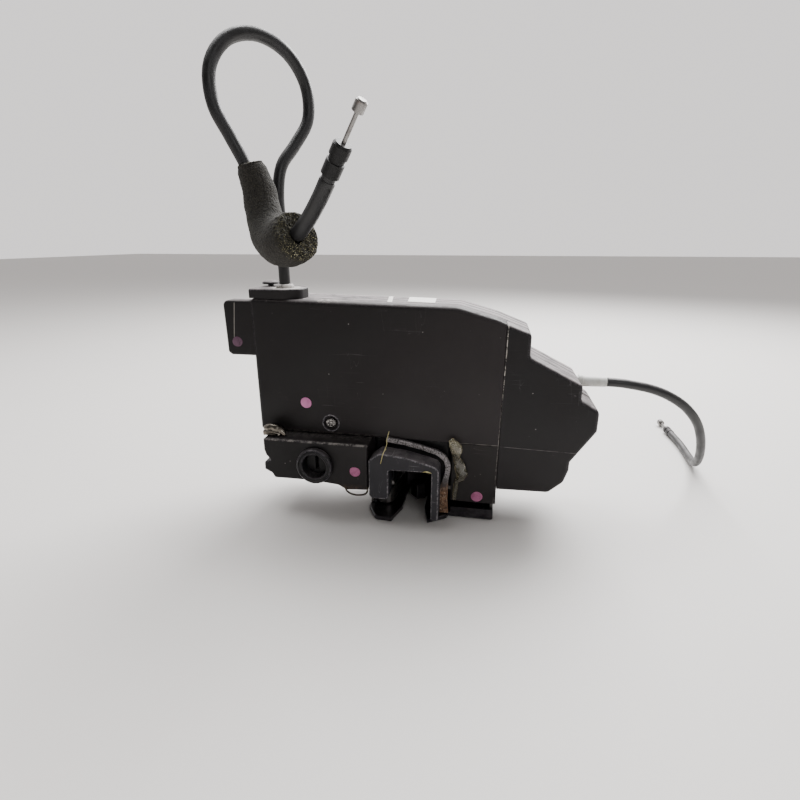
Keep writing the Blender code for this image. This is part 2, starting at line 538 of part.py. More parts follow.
handle_points = smooth_route(HANDLE_ROUTE, 11.5)
cord("handle_cable", handle_points, 6.0, "rubber")
foam_route = smooth_route(HANDLE_ROUTE[14:22], 5.0)
share = [i / (len(foam_route) - 1) for i in range(len(foam_route))]
sleeve("foam_sleeve", foam_route, [7.2 + 2.6 * min(1.0, s * 1.2) for s in share], 3.9, "foam")


def rod(name, start, end, radius, colour, bore=0.0, count=14):
    spots = [start, end]
    if bore:
        return sleeve(name, [start, along(start, end, 0.5), end], [radius] * 3, bore, colour, count)
    return cord(name, spots, radius * 2, colour)


def ahead(points, distance):
    last = Vector(points[-1])
    heading = (last - Vector(points[-2])).normalized()
    return tuple(last + heading * distance)


HANDLE_END = handle_points[-1]
rod("handle_cable_end", ahead(handle_points, 0.3), ahead(handle_points, 14), 4.0, "glass_filled_plastic", bore=1.3)
rod("handle_wire", ahead(handle_points, 0.5), ahead(handle_points, 26), 0.9, "steel")
rod("handle_wire_nipple", ahead(handle_points, 26.3), ahead(handle_points, 31.5), 2.4, "steel")

# Outside release cable: leaves the right side through a pale sleeve and lies back on the floor.
RELEASE_ROUTE = [(108.4, 26, 76.8), (114, 26.2, 76.6), (120, 27, 75.8), (132, 29.5, 73.2), (143, 32, 68.8),
                 (154, 36, 61.5), (163.5, 41.5, 51), (171, 50, 37.5), (177, 61.5, 23), (182, 76, 11.5),
                 (186.5, 93, 5), (189.5, 111, 2.9), (191, 130, 2.9), (191, 150, 2.9)]
release_points = smooth_route(RELEASE_ROUTE, 10.0)
cord("release_cable", release_points, 5.0, "rubber")
lathe("release_ferrule", [(3.0, 86.5), (3.0, 93.0), (3.5, 93.1), (3.5, 95.2), (3.0, 95.4), (2.9, 97), (2.7, 108)],
      (26, 76.8), "X", "white_plastic")
rod("release_cable_end", ahead(release_points, 0.3), ahead(release_points, 13), 2.85, "glass_filled_plastic", bore=1.3)
rod("release_wire", ahead(release_points, 0.5), ahead(release_points, 23), 0.9, "steel")
rod("release_wire_nipple", ahead(release_points, 23.3), ahead(release_points, 28.3), 2.4, "steel")
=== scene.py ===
import itertools
import math

import bmesh
import bpy
import numpy as np
from mathutils import Matrix, Vector


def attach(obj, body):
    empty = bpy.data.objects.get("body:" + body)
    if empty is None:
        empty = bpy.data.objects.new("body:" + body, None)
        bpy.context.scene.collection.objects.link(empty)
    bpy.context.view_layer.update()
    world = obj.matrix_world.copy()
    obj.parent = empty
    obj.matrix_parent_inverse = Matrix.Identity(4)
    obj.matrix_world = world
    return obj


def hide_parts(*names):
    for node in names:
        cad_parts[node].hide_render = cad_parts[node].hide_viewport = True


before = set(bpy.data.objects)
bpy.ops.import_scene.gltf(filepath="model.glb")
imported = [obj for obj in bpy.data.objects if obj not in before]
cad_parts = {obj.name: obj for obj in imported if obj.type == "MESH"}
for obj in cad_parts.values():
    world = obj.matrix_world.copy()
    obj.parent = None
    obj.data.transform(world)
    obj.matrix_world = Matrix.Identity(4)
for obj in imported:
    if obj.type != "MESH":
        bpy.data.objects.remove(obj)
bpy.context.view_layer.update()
middle = (3.565, 15.85, 0.0)  # millimetres from the outlines' own zero to the shared origin
print("frame loaded")


def place(points):
    # millimetres measured from the front face, into metres in the shared frame
    return (np.asarray(points, float) - middle) * 0.001


# camera behind the front of the object, turned by its own axes
cameraPlan = {"lens": 22.0, "spot": (43.5, -248.0, 150.8),
              "axes": ((0.9834, -0.0565, 0.1726), (0.1816, 0.3058, -0.9346), (0.0, 0.9503, 0.3113))}
eye = bpy.data.objects.new("camera", bpy.data.cameras.new("camera"))
bpy.context.scene.collection.objects.link(eye)
eye.data.lens = cameraPlan["lens"]
eye.data.sensor_width = 36
eye.data.clip_start = 0.01
turn = Matrix(cameraPlan["axes"]).to_4x4()
eye.matrix_world = Matrix.Translation(Vector(place(cameraPlan["spot"]))) @ turn
bpy.context.scene.camera = eye


# shader building blocks
def addNode(tree, kind, values=None, **settings):
    made = tree.nodes.new(kind)
    for key, value in settings.items():
        setattr(made, key, value)
    for key, value in (values or {}).items():
        if isinstance(value, bpy.types.NodeSocket):
            tree.links.new(value, made.inputs[key])
        else:
            made.inputs[key].default_value = value
    return made


def calc(tree, operation, a, b=0.0, c=0.0):
    return addNode(tree, "ShaderNodeMath", {0: a, 1: b, 2: c}, operation=operation).outputs[0]


def blendColour(tree, share, a, b):
    return addNode(tree, "ShaderNodeMix", {0: share, 6: a, 7: b}, data_type="RGBA").outputs[2]


def rise(tree, value, low, high):
    # 0 below low, 1 above high, smooth between
    return addNode(tree, "ShaderNodeMapRange", {0: value, 1: low, 2: high, 3: 0.0, 4: 1.0},
                   interpolation_type="SMOOTHSTEP").outputs[0]


def noise(tree, scale, detail=3.0, rough=0.5, vector=None, distortion=0.0):
    values = {"Scale": scale, "Detail": detail, "Roughness": rough, "Distortion": distortion}
    if vector is None:
        vector = addNode(tree, "ShaderNodeTexCoord").outputs["Object"]
    values["Vector"] = vector
    return addNode(tree, "ShaderNodeTexNoise", values).outputs[0]


def axes(tree):
    # object coordinates in millimetres, counted from the front face
    spot = addNode(tree, "ShaderNodeTexCoord").outputs["Object"]
    parts = addNode(tree, "ShaderNodeSeparateXYZ", {0: spot})
    return [calc(tree, "MULTIPLY_ADD", parts.outputs[k], 1000.0, middle[k]) for k in range(3)]


def stretched(tree, scale):
    spot = addNode(tree, "ShaderNodeTexCoord").outputs["Object"]
    return addNode(tree, "ShaderNodeMapping", {"Vector": spot, "Scale": scale}).outputs[0]


def times(tree, *values):
    # the product of all the values
    total = values[0]
    for value in values[1:]:
        total = calc(tree, "MULTIPLY", total, value)
    return total


def most(tree, *values):
    # the largest of all the values
    total = values[0]
    for value in values[1:]:
        total = calc(tree, "MAXIMUM", total, value)
    return total


def inverse(tree, value):
    return calc(tree, "SUBTRACT", 1.0, value)


def facingUp(tree):
    normal = addNode(tree, "ShaderNodeNewGeometry").outputs["Normal"]
    return addNode(tree, "ShaderNodeSeparateXYZ", {0: normal}).outputs[2]


def pieceValue(tree, name):
    # a value stored on the mesh of the piece
    return addNode(tree, "ShaderNodeAttribute", attribute_name=name).outputs["Fac"]


def addBump(tree, shader, height, strength, distance):
    bump = addNode(tree, "ShaderNodeBump", {"Height": height, "Strength": strength, "Distance": distance})
    tree.links.new(bump.outputs[0], shader.inputs["Normal"])


def newGroup(name, inputs, outputs):
    group = bpy.data.node_groups.new(name, "ShaderNodeTree")
    for label, value in inputs.items():
        socket = group.interface.new_socket(label, in_out="INPUT", socket_type="NodeSocketFloat")
        socket.default_value = value
    for label in outputs:
        group.interface.new_socket(label, in_out="OUTPUT", socket_type="NodeSocketFloat")
    return group, group.nodes.new("NodeGroupInput"), group.nodes.new("NodeGroupOutput")


def buildGrain():
    # moulded grain: fine pits over a slow waviness, and a blotch mask for uneven gloss
    group, given, result = newGroup("mouldedGrain", {"Size": 2200.0}, ("Height", "Blotch"))
    fine = noise(group, given.outputs[0], 2.0, 0.6)
    slow = noise(group, 60.0, 3.0)
    blotch = noise(group, 24.0, 5.0, 0.6)
    height = calc(group, "MULTIPLY_ADD", slow, 1.6, fine)
    group.links.new(height, result.inputs[0])
    group.links.new(rise(group, blotch, 0.36, 0.68), result.inputs[1])
    return group


def buildDustAndSheen():
    # dust that settles on faces turned up, thinned by noise, with a painted sheen where the top faces catch the light
    group, given, result = newGroup("settledDustAndSheen", {"Amount": 0.5}, ("Mask",))
    flat = rise(group, facingUp(group), 0.35, 0.95)
    cloud = rise(group, noise(group, 130.0, 6.0, 0.7), 0.25, 0.7)
    specks = rise(group, noise(group, 1500.0, 2.0, 0.6), 0.56, 0.7)
    thick = calc(group, "MULTIPLY_ADD", specks, 0.5, cloud)
    mask = times(group, flat, thick, given.outputs[0])
    group.links.new(calc(group, "MINIMUM", mask, 0.95), result.inputs[0])
    return group


def buildWear():
    # rubbed edges: the piece's own edge attribute broken up by noise
    group, given, result = newGroup("rubbedEdge", {"Amount": 0.5}, ("Mask",))
    broken = rise(group, noise(group, 900.0, 5.0, 0.75), 0.42, 0.62)
    mask = times(group, pieceValue(group, "edgeMask"), broken, given.outputs[0])
    group.links.new(mask, result.inputs[0])
    return group


def buildScratch():
    # hair scratches: thin level lines of stretched noise in two directions, kept to patches
    group, given, result = newGroup("hairScratches", {"Amount": 0.4}, ("Mask",))
    total = 0.0
    for scale in ((9.0, 9.0, 260.0), (210.0, 20.0, 30.0)):
        drawn = noise(group, 1.0, 2.0, 0.5, stretched(group, scale))
        level = calc(group, "ABSOLUTE", calc(group, "SUBTRACT", drawn, 0.5))
        line = inverse(group, rise(group, level, 0.0008, 0.0032))
        total = calc(group, "ADD", line, total)
    patch = rise(group, noise(group, 45.0, 3.0, 0.6), 0.52, 0.66)
    mask = times(group, total, patch, given.outputs[0])
    group.links.new(calc(group, "MINIMUM", mask, 1.0), result.inputs[0])
    return group


def buildFlecks():
    # small pale flecks of grit: cells near their centre, only where the cell's own chance is high
    group, given, result = newGroup("gritFlecks", {"Amount": 0.6}, ("Mask",))
    spot = addNode(group, "ShaderNodeTexCoord").outputs["Object"]
    cells = addNode(group, "ShaderNodeTexVoronoi", {"Vector": spot, "Scale": 330.0, "Randomness": 1.0})
    chance = addNode(group, "ShaderNodeSeparateColor", {0: cells.outputs["Color"]}).outputs[0]
    near = inverse(group, rise(group, cells.outputs["Distance"], 0.05, 0.14))
    kept = rise(group, chance, 0.945, 0.955)
    group.links.new(times(group, near, kept, given.outputs[0]), result.inputs[0])
    return group


groups = {"grain": buildGrain(), "dustAndSheen": buildDustAndSheen(), "wear": buildWear(), "scratch": buildScratch(),
          "fleck": buildFlecks()}


def useGroup(tree, name, value):
    made = tree.nodes.new("ShaderNodeGroup")
    made.node_tree = groups[name]
    made.inputs[0].default_value = value
    return made


def newMaterial(name):
    made = bpy.data.materials.new(name)
    made.use_nodes = True
    tree = made.node_tree
    return made, tree, tree.nodes["Principled BSDF"]


def rgb(code):
    # sRGB hex to linear
    parts = [int(code[i:i + 2], 16) / 255 for i in (0, 2, 4)]
    return (*[c / 12.92 if c <= 0.04045 else ((c + 0.055) / 1.055) ** 2.4 for c in parts], 1.0)


def mouldedPlastic(name, tones, rough=(0.42, 0.6), dustAndSheen=0.5, wear=0.3, scratch=0.3, fleck=0.5, grain=2200.0,
                   relief=0.05, marks=None, dustAndSheenTone="9a9292", wearTone="78737a"):
    # two blotched tones under rubbed edges, scratches, settled dust with a painted sheen on faces turned up, and grit;
    # gloss follows blotch and dust
    made, tree, shader = newMaterial(name)
    skin = useGroup(tree, "grain", grain)
    colour = blendColour(tree, skin.outputs["Blotch"], rgb(tones[0]), rgb(tones[1]))
    colour = blendColour(tree, useGroup(tree, "wear", wear).outputs[0], colour, rgb(wearTone))
    hair = useGroup(tree, "scratch", scratch).outputs[0]
    colour = blendColour(tree, hair, colour, rgb("8a8588"))
    # pale dust on faces turned up, partly a painted sheen of light on the top faces
    dustAndSheenMask = useGroup(tree, "dustAndSheen", dustAndSheen).outputs[0]
    colour = blendColour(tree, dustAndSheenMask, colour, rgb(dustAndSheenTone))
    grit = useGroup(tree, "fleck", fleck).outputs[0]
    colour = blendColour(tree, grit, colour, rgb("8f8986"))
    gloss = calc(tree, "MULTIPLY_ADD", skin.outputs["Blotch"], rough[1] - rough[0], rough[0])
    gloss = most(tree, gloss, times(tree, dustAndSheenMask, 0.85))
    height = skin.outputs["Height"]
    if marks:
        colour, gloss, height = marks(tree, colour, gloss, height)
    tree.links.new(colour, shader.inputs["Base Color"])
    tree.links.new(gloss, shader.inputs["Roughness"])
    shader.inputs["Specular IOR Level"].default_value = 0.28
    addBump(tree, shader, height, relief * 4, 0.0002)
    return made


def bandMask(tree, value, centre, half, soft=0.25):
    # 1 inside centre +- half, fading over soft millimetres
    away = calc(tree, "ABSOLUTE", calc(tree, "SUBTRACT", value, centre))
    return inverse(tree, rise(tree, away, half, half + soft))


seam = {"x": 51.8, "half": 0.07, "soft": 0.3, "lean": 0.02, "level": 62.0, "tone": "c4beb6"}


def chalkLine(tree, x, z):
    # pale crumbs that follow the seam between the covers, thinning out towards the bottom
    lean = calc(tree, "MULTIPLY_ADD", calc(tree, "SUBTRACT", z, seam["level"]), -seam["lean"], x)
    wander = times(tree, calc(tree, "SUBTRACT", noise(tree, 160.0, 4.0), 0.5), 0.5)
    band = bandMask(tree, calc(tree, "ADD", lean, wander), seam["x"], seam["half"], seam["soft"])
    crumbs = rise(tree, noise(tree, 420.0, 5.0, 0.8), 0.45, 0.56)
    amount = calc(tree, "MULTIPLY_ADD", rise(tree, z, 58.0, 80.0), 0.65, 0.3)
    return times(tree, band, crumbs, amount)


coverMarksAndLight = {
    "paler": "2b2627", "palerShare": 0.85,  # painted light: the face is lighter towards the mouth, where more light falls
    "topEdge": "221e1e", "topEdgeShare": 0.8,  # the top is darker within a few millimetres of the front edge
    "earLine": -95.0, "earLean": 0.11, "earMiddle": 109.0, "earHalf": 9.0,
    "lowerEdge": 45.35,  # joint with the lower cover
}


def coverMarks(tree, colour, gloss, height):
    # seam crumbs, the line on the ear, soil along the lower edge, a scuff by the boss and the lower joint; painted
    # light that lightens the face towards the mouth; the top darker near the front edge
    x, y, z = axes(tree)
    front = inverse(tree, rise(tree, y, 1.2, 2.2))
    chalk = times(tree, chalkLine(tree, x, z), front)
    fromMiddle = calc(tree, "SUBTRACT", z, coverMarksAndLight["earMiddle"])
    upright = calc(tree, "MULTIPLY_ADD", fromMiddle, -coverMarksAndLight["earLean"], x)
    length = bandMask(tree, z, coverMarksAndLight["earMiddle"], coverMarksAndLight["earHalf"], 1.0)
    line = times(tree, bandMask(tree, upright, coverMarksAndLight["earLine"], 0.08, 0.24), length, front, 0.5)
    crumbs = rise(tree, noise(tree, 380.0, 5.0, 0.8), 0.44, 0.56)
    bottom = inverse(tree, rise(tree, z, 45.5, 47.5))
    soil = times(tree, bottom, crumbs, front, bandMask(tree, x, -52.0, 32.0, 6.0), 0.14)
    patches = rise(tree, noise(tree, 420.0, 4.0, 0.8), 0.5, 0.6)
    scuff = times(tree, bandMask(tree, x, -42.0, 4.0, 5.0), rise(tree, z, 119.2, 120.6), patches)
    joint = times(tree, bandMask(tree, z, coverMarksAndLight["lowerEdge"], 0.08, 0.2), rise(tree, x, 27.0, 33.0))
    joint = times(tree, joint, front, rise(tree, noise(tree, 300.0, 4.0), 0.2, 0.6), 0.3)
    mask = most(tree, chalk, line, soil, scuff, joint)
    # painted light: the face turns lighter towards the lower right, by the mouth
    paler = rise(tree, calc(tree, "MULTIPLY_ADD", z, -0.9, x), -165.0, -10.0)
    colour = blendColour(tree, times(tree, paler, coverMarksAndLight["palerShare"]), colour, rgb(coverMarksAndLight["paler"]))
    # the top is darker within a few millimetres of the front edge
    near = inverse(tree, rise(tree, y, 3.0, 9.0))
    frontTopDarker = times(tree, near, rise(tree, facingUp(tree), 0.3, 0.8), coverMarksAndLight["topEdgeShare"])
    colour = blendColour(tree, frontTopDarker, colour, rgb(coverMarksAndLight["topEdge"]))
    colour = blendColour(tree, mask, colour, rgb(seam["tone"]))
    return colour, most(tree, gloss, times(tree, mask, 0.9)), calc(tree, "ADD", height, mask)


def sideMarks(tree, colour, gloss, height):
    # seam crumbs, a thin level joint line, and a warmer tone lower down
    x, y, z = axes(tree)
    front = inverse(tree, rise(tree, y, 1.0, 1.8))
    line = times(tree, bandMask(tree, calc(tree, "MULTIPLY_ADD", x, 0.02, z), 46.0, 0.07, 0.2), front)
    worn = rise(tree, noise(tree, 300.0, 4.0), 0.2, 0.6)
    colour = blendColour(tree, times(tree, line, worn, 0.55), colour, rgb("8a8484"))
    colour = blendColour(tree, times(tree, chalkLine(tree, x, z), front), colour, rgb(seam["tone"]))
    warm = times(tree, inverse(tree, rise(tree, z, 20.0, 80.0)), 0.5)
    colour = blendColour(tree, warm, colour, rgb("262223"))
    return colour, gloss, calc(tree, "SUBTRACT", height, line)


def topMarks(tree, colour, gloss, height):
    # dirt held in the lengthwise joints and grooves
    depth = axes(tree)[1]
    wander = times(tree, calc(tree, "SUBTRACT", noise(tree, 90.0, 3.0), 0.5), 0.5)
    depth = calc(tree, "ADD", depth, wander)
    faint = times(tree, bandMask(tree, depth, 15.4, 0.3, 0.6), 0.6)
    dark = most(tree, bandMask(tree, depth, 21.5, 0.5, 0.5), bandMask(tree, depth, 29.05, 0.45, 0.45), faint)
    soot = times(tree, rise(tree, noise(tree, 60.0, 5.0, 0.7), 0.45, 0.75), 0.35)
    colour = blendColour(tree, most(tree, times(tree, dark, 0.8), soot), colour, rgb("2a2627"))
    return colour, gloss, calc(tree, "SUBTRACT", height, dark)


def carrierMarks(tree, colour, gloss, height):
    # grime along the top front edge, soil along the bottom, and a lighter tone towards the mouth
    x, y, z = axes(tree)
    crumbs = rise(tree, noise(tree, 420.0, 5.0, 0.8), 0.42, 0.6)
    front = inverse(tree, rise(tree, y, -11.3, -9.8))
    ledge = times(tree, rise(tree, z, 43.7, 44.5), front, crumbs, 0.85)
    film = times(tree, rise(tree, z, 44.2, 44.8), rise(tree, y, -9.0, -1.0), crumbs)
    mask = calc(tree, "MULTIPLY_ADD", film, 0.3, ledge)
    soil = times(tree, inverse(tree, rise(tree, z, 18.5, 21.5)), crumbs, 0.5)
    paler = times(tree, rise(tree, x, -62.0, -28.0), 0.7)
    colour = blendColour(tree, paler, colour, rgb("211d1e"))
    colour = blendColour(tree, mask, colour, rgb("8f8a86"))
    colour = blendColour(tree, soil, colour, rgb("5a4836"))
    return colour, most(tree, gloss, times(tree, mask, 0.9)), calc(tree, "ADD", height, mask)


def bossMarks(tree, colour, gloss, height):
    # chalky ring on the top around the cable
    x, y, z = axes(tree)
    level = addNode(tree, "ShaderNodeCombineXYZ", {0: x, 1: y}).outputs[0]
    away = addNode(tree, "ShaderNodeVectorMath", {0: level, 1: (-66.5, 9.0, 0.0)}, operation="DISTANCE")
    ring = inverse(tree, rise(tree, away.outputs["Value"], 5.0, 10.5))
    broken = rise(tree, noise(tree, 260.0, 5.0, 0.75), 0.36, 0.55)
    mask = times(tree, ring, broken, rise(tree, z, 125.5, 125.95))
    colour = blendColour(tree, mask, colour, rgb("cbc7c3"))
    return colour, most(tree, gloss, times(tree, mask, 0.85)), calc(tree, "ADD", height, mask)


def steelFinish(name, tones=("8c8a88", "6b6967"), rough=(0.3, 0.5), rust=0.25, wear=0.6):
    # brushed grain, patches of dull film, rust where the noise is high
    made, tree, shader = newMaterial(name)
    brush = noise(tree, 1.0, 4.0, 0.6, stretched(tree, (40.0, 900.0, 900.0)))
    patch = rise(tree, noise(tree, 90.0, 5.0, 0.65), 0.4, 0.65)
    colour = blendColour(tree, patch, rgb(tones[0]), rgb(tones[1]))
    colour = blendColour(tree, useGroup(tree, "wear", wear).outputs[0], colour, rgb("c9c6c2"))
    spots = rise(tree, noise(tree, 260.0, 6.0, 0.75), 0.6 - 0.25 * rust, 0.72)
    spots = times(tree, spots, min(1.0, rust * 2))
    colour = blendColour(tree, spots, colour, rgb("5e3c28"))
    tree.links.new(colour, shader.inputs["Base Color"])
    tree.links.new(inverse(tree, spots), shader.inputs["Metallic"])
    gloss = calc(tree, "MULTIPLY_ADD", patch, rough[1] - rough[0], rough[0])
    tree.links.new(most(tree, gloss, times(tree, spots, 0.85)), shader.inputs["Roughness"])
    addBump(tree, shader, calc(tree, "MULTIPLY_ADD", spots, 0.8, brush), 0.15, 0.0001)
    return made


collarPaint = {"black": "454242", "speckle": "a8a2a3", "rust": ("4c3527", "97745a"), "flake": "d0b9a2"}


def collarFinish():
    # black-painted steel band: pale speckle along its worn front edges, rust down the right leg
    made, tree, shader = newMaterial("collarSteel")
    x, y, z = axes(tree)
    fine = noise(tree, 1500.0, 4.0, 0.7)
    front = inverse(tree, rise(tree, y, -2.35, -1.6))
    speckle = times(tree, most(tree, pieceValue(tree, "edgeMask"), front), rise(tree, fine, 0.4, 0.58))
    speckle = times(tree, speckle, rise(tree, z, 20.0, 30.0))
    colour = blendColour(tree, speckle, rgb(collarPaint["black"]), rgb(collarPaint["speckle"]))
    leg = times(tree, inverse(tree, rise(tree, z, 15.0, 24.0)), rise(tree, x, 18.0, 21.0))
    scale = noise(tree, 420.0, 6.0, 0.75)
    rustTones = [rgb(tone) for tone in collarPaint["rust"]]
    rustTone = blendColour(tree, rise(tree, scale, 0.35, 0.62), *rustTones)
    flakes = rise(tree, noise(tree, 900.0, 3.0, 0.7), 0.58, 0.66)
    rustTone = blendColour(tree, flakes, rustTone, rgb(collarPaint["flake"]))
    eaten = times(tree, leg, rise(tree, calc(tree, "MULTIPLY_ADD", leg, 0.3, scale), 0.42, 0.6))
    colour = blendColour(tree, eaten, colour, rustTone)
    tree.links.new(colour, shader.inputs["Base Color"])
    tree.links.new(calc(tree, "MULTIPLY_ADD", eaten, 0.35, 0.45), shader.inputs["Roughness"])
    addBump(tree, shader, calc(tree, "MULTIPLY_ADD", times(tree, scale, eaten), 3.0, fine), 0.5, 0.0004)
    return made


foamLook = {"skin": ("13120f", "34312b"), "cut": ("0d0c09", "3a3728"), "paintedGlint": "cfc79c",
            "cutSpot": (-44.5, 153.0)}


def foamFinish():
    # open-cell foam: dark skin and pores, and painted glints on the cut cells, more of them at the lower right of the
    # cut where painted light falls
    made, tree, shader = newMaterial("openFoam")
    spot = addNode(tree, "ShaderNodeTexCoord").outputs["Object"]
    cells = addNode(tree, "ShaderNodeTexVoronoi", {"Vector": spot, "Scale": 1100.0})
    cut = pieceValue(tree, "cutFace")
    fine = noise(tree, 1300.0, 5.0, 0.7)
    colour = blendColour(tree, rise(tree, fine, 0.35, 0.7), *[rgb(tone) for tone in foamLook["skin"]])
    pores = rise(tree, noise(tree, 900.0, 4.0, 0.7), 0.4, 0.66)
    olive = blendColour(tree, pores, *[rgb(tone) for tone in foamLook["cut"]])
    colour = blendColour(tree, cut, colour, olive)
    x, y, z = axes(tree)
    # painted light: the cut is lit more towards its lower right
    right = calc(tree, "SUBTRACT", x, foamLook["cutSpot"][0])
    above = calc(tree, "SUBTRACT", z, foamLook["cutSpot"][1])
    lit = rise(tree, calc(tree, "SUBTRACT", right, above), -3.0, 9.0)
    share = times(tree, cut, calc(tree, "MULTIPLY_ADD", lit, 0.75, 0.25))
    # painted glints on the cut cells
    paintedGlint = rise(tree, noise(tree, 1900.0, 2.0, 0.6), 0.6, 0.68)
    paintedGlint = times(tree, paintedGlint, calc(tree, "MULTIPLY_ADD", share, 0.95, 0.04))
    colour = blendColour(tree, paintedGlint, colour, rgb(foamLook["paintedGlint"]))
    tree.links.new(colour, shader.inputs["Base Color"])
    shader.inputs["Roughness"].default_value = 0.88
    addBump(tree, shader, calc(tree, "MULTIPLY_ADD", cells.outputs["Distance"], 1.5, fine), 0.6, 0.0004)
    return made


def sheathFinish(name, tones=("0e0e0f", "1a1a1c"), rough=0.38):
    # extruded sheath with a slightly uneven, handled skin
    made, tree, shader = newMaterial(name)
    patch = rise(tree, noise(tree, 140.0, 5.0, 0.6), 0.35, 0.7)
    colour = blendColour(tree, patch, rgb(tones[0]), rgb(tones[1]))
    # pale dust on faces turned up, partly a painted sheen
    colour = blendColour(tree, useGroup(tree, "dustAndSheen", 0.3).outputs[0], colour, rgb("7d7878"))
    tree.links.new(colour, shader.inputs["Base Color"])
    tree.links.new(calc(tree, "MULTIPLY_ADD", patch, 0.2, rough), shader.inputs["Roughness"])
    addBump(tree, shader, calc(tree, "MULTIPLY_ADD", patch, 0.5, noise(tree, 900.0, 3.0)), 0.12, 0.0002)
    return made


def paleFinish(name, tones, rough=0.5, soil="8e8a82", soilAmount=0.25):
    # pale moulding, paper or paint with faint soiling
    made, tree, shader = newMaterial(name)
    patch = rise(tree, noise(tree, 210.0, 5.0, 0.65), 0.4, 0.7)
    colour = blendColour(tree, patch, rgb(tones[0]), rgb(tones[1]))
    dirt = times(tree, rise(tree, noise(tree, 480.0, 6.0, 0.75), 0.52, 0.7), soilAmount)
    colour = blendColour(tree, dirt, colour, rgb(soil))
    tree.links.new(colour, shader.inputs["Base Color"])
    tree.links.new(calc(tree, "MULTIPLY_ADD", dirt, 0.4, rough), shader.inputs["Roughness"])
    addBump(tree, shader, noise(tree, 1200.0, 3.0), 0.15, 0.0001)
    return made


greaseLook = {"thin": ("6a644c", "98917a"), "thick": ("b3aa86", "e2dcc4"), "grit": "4a3f2c", "clear": 0.78}


def greaseFinish():
    # old translucent grease with grit in it, paler at the top, partly the thick bead's own tone and partly a painted
    # highlight
    made, tree, shader = newMaterial("oldGrease")
    cloud = rise(tree, noise(tree, 300.0, 5.0, 0.7), 0.3, 0.7)
    # paler top: the bead's own tone with a painted highlight on it
    bead = rise(tree, axes(tree)[2], 36.0, 44.0)
    thin = blendColour(tree, cloud, *[rgb(tone) for tone in greaseLook["thin"]])
    thick = blendColour(tree, cloud, *[rgb(tone) for tone in greaseLook["thick"]])
    colour = blendColour(tree, bead, thin, thick)
    grit = rise(tree, noise(tree, 1400.0, 3.0, 0.7), 0.62, 0.68)
    colour = blendColour(tree, times(tree, grit, 0.5), colour, rgb(greaseLook["grit"]))
    tree.links.new(colour, shader.inputs["Base Color"])
    shader.inputs["Transmission Weight"].default_value = greaseLook["clear"]
    shader.inputs["IOR"].default_value = 1.46
    shader.inputs["Coat Weight"].default_value = 0.6
    tree.links.new(calc(tree, "MULTIPLY_ADD", grit, 0.3, 0.1), shader.inputs["Roughness"])
    addBump(tree, shader, noise(tree, 240.0, 3.0), 0.22, 0.0005)
    return made


finishes = {
    "cover": mouldedPlastic("coverPlastic", tones=("0b090a", "151112"), dustAndSheen=0.95, wear=0.16, scratch=0.14,
                            fleck=0.9, marks=coverMarks),
    "side": mouldedPlastic("sideCoverPlastic", tones=("131113", "1c191a"), dustAndSheen=0.85, wear=0.2, scratch=0.14,
                           fleck=0.8, marks=sideMarks),
    "rear": mouldedPlastic("rearHousingPlastic", tones=("151314", "201d1e"), dustAndSheen=1.3, wear=0.3,
                           dustAndSheenTone="9c9595", marks=topMarks),
    "boss": mouldedPlastic("bossPlastic", tones=("131112", "1f1c1d"), dustAndSheen=0.6, wear=0.35, marks=bossMarks),
    "carrier": mouldedPlastic("carrierPlastic", tones=("090708", "110e0f"), dustAndSheen=0.12, wear=0.3, scratch=0.15,
                              marks=carrierMarks),
    "socket": mouldedPlastic("socketPlastic", tones=("0f0f10", "19181a"), rough=(0.34, 0.5), dustAndSheen=0.25,
                             wear=0.45),
    "guard": mouldedPlastic("guardPlastic", tones=("2b2a2e", "39383c"), rough=(0.5, 0.66), dustAndSheen=0.3, wear=0.75,
                            scratch=0.6, fleck=0.8, grain=1700.0, relief=0.08, wearTone="a09ca0"),
    "body": mouldedPlastic("bodyPlastic", tones=("121113", "1b1a1c"), dustAndSheen=0.3, wear=0.4),
    "lower": mouldedPlastic("lowerCoverPlastic", tones=("1a1716", "231f1e"), dustAndSheen=0.2, wear=0.2, scratch=0.14,
                            marks=sideMarks),
    "dark": mouldedPlastic("darkMoulding", tones=("101010", "1a191b"), dustAndSheen=0.2, wear=0.4),
    "white": paleFinish("whiteMoulding", ("d8d8d4", "c6c5bf")),
    "paper": paleFinish("blankPaper", ("f6f4f0", "e9e6df"), 0.62, soilAmount=0.35),
    "paint": paleFinish("whitePaint", ("efece6", "d9d5cd"), 0.45, soilAmount=0.3),
    "magenta": paleFinish("magentaPaint", ("d986b8", "c873a6"), 0.5, "8d4a73", 0.4),
    "deepMagenta": paleFinish("dullMagentaPaint", ("b96a93", "9a5077"), 0.5, "6b3a52", 0.5),
    "purple": paleFinish("dullPurplePaint", ("634158", "523549"), 0.55, "36232f", 0.6),
    "straw": paleFinish("dryStraw", ("cfc58f", "a89a62"), 0.6),
    "steel": steelFinish("platedSteel"),
    "darkSteel": steelFinish("oiledSteel", ("4a484b", "363437"), (0.34, 0.5), 0.1),
    "screw": steelFinish("screwSteel", ("6b6968", "4c4a49"), (0.25, 0.42), 0.05, wear=1.3),
    "lug": steelFinish("greasySteel", ("857f76", "4e4a43"), (0.22, 0.42), 0.35),
    "brass": steelFinish("wormBrass", ("b08d4c", "8f6f38"), (0.3, 0.42), 0.0),
    "collar": collarFinish(),
    "foam": foamFinish(),
    "sheath": sheathFinish("cableSheath"),
    "rubber": sheathFinish("bufferRubber", ("131313", "1f1f20"), 0.6),
    "board": paleFinish("leadframePlastic", ("1f5a34", "17462a"), 0.5, "3a3a20", 0.4),
    "grease": greaseFinish(),
}
print("finishes built")


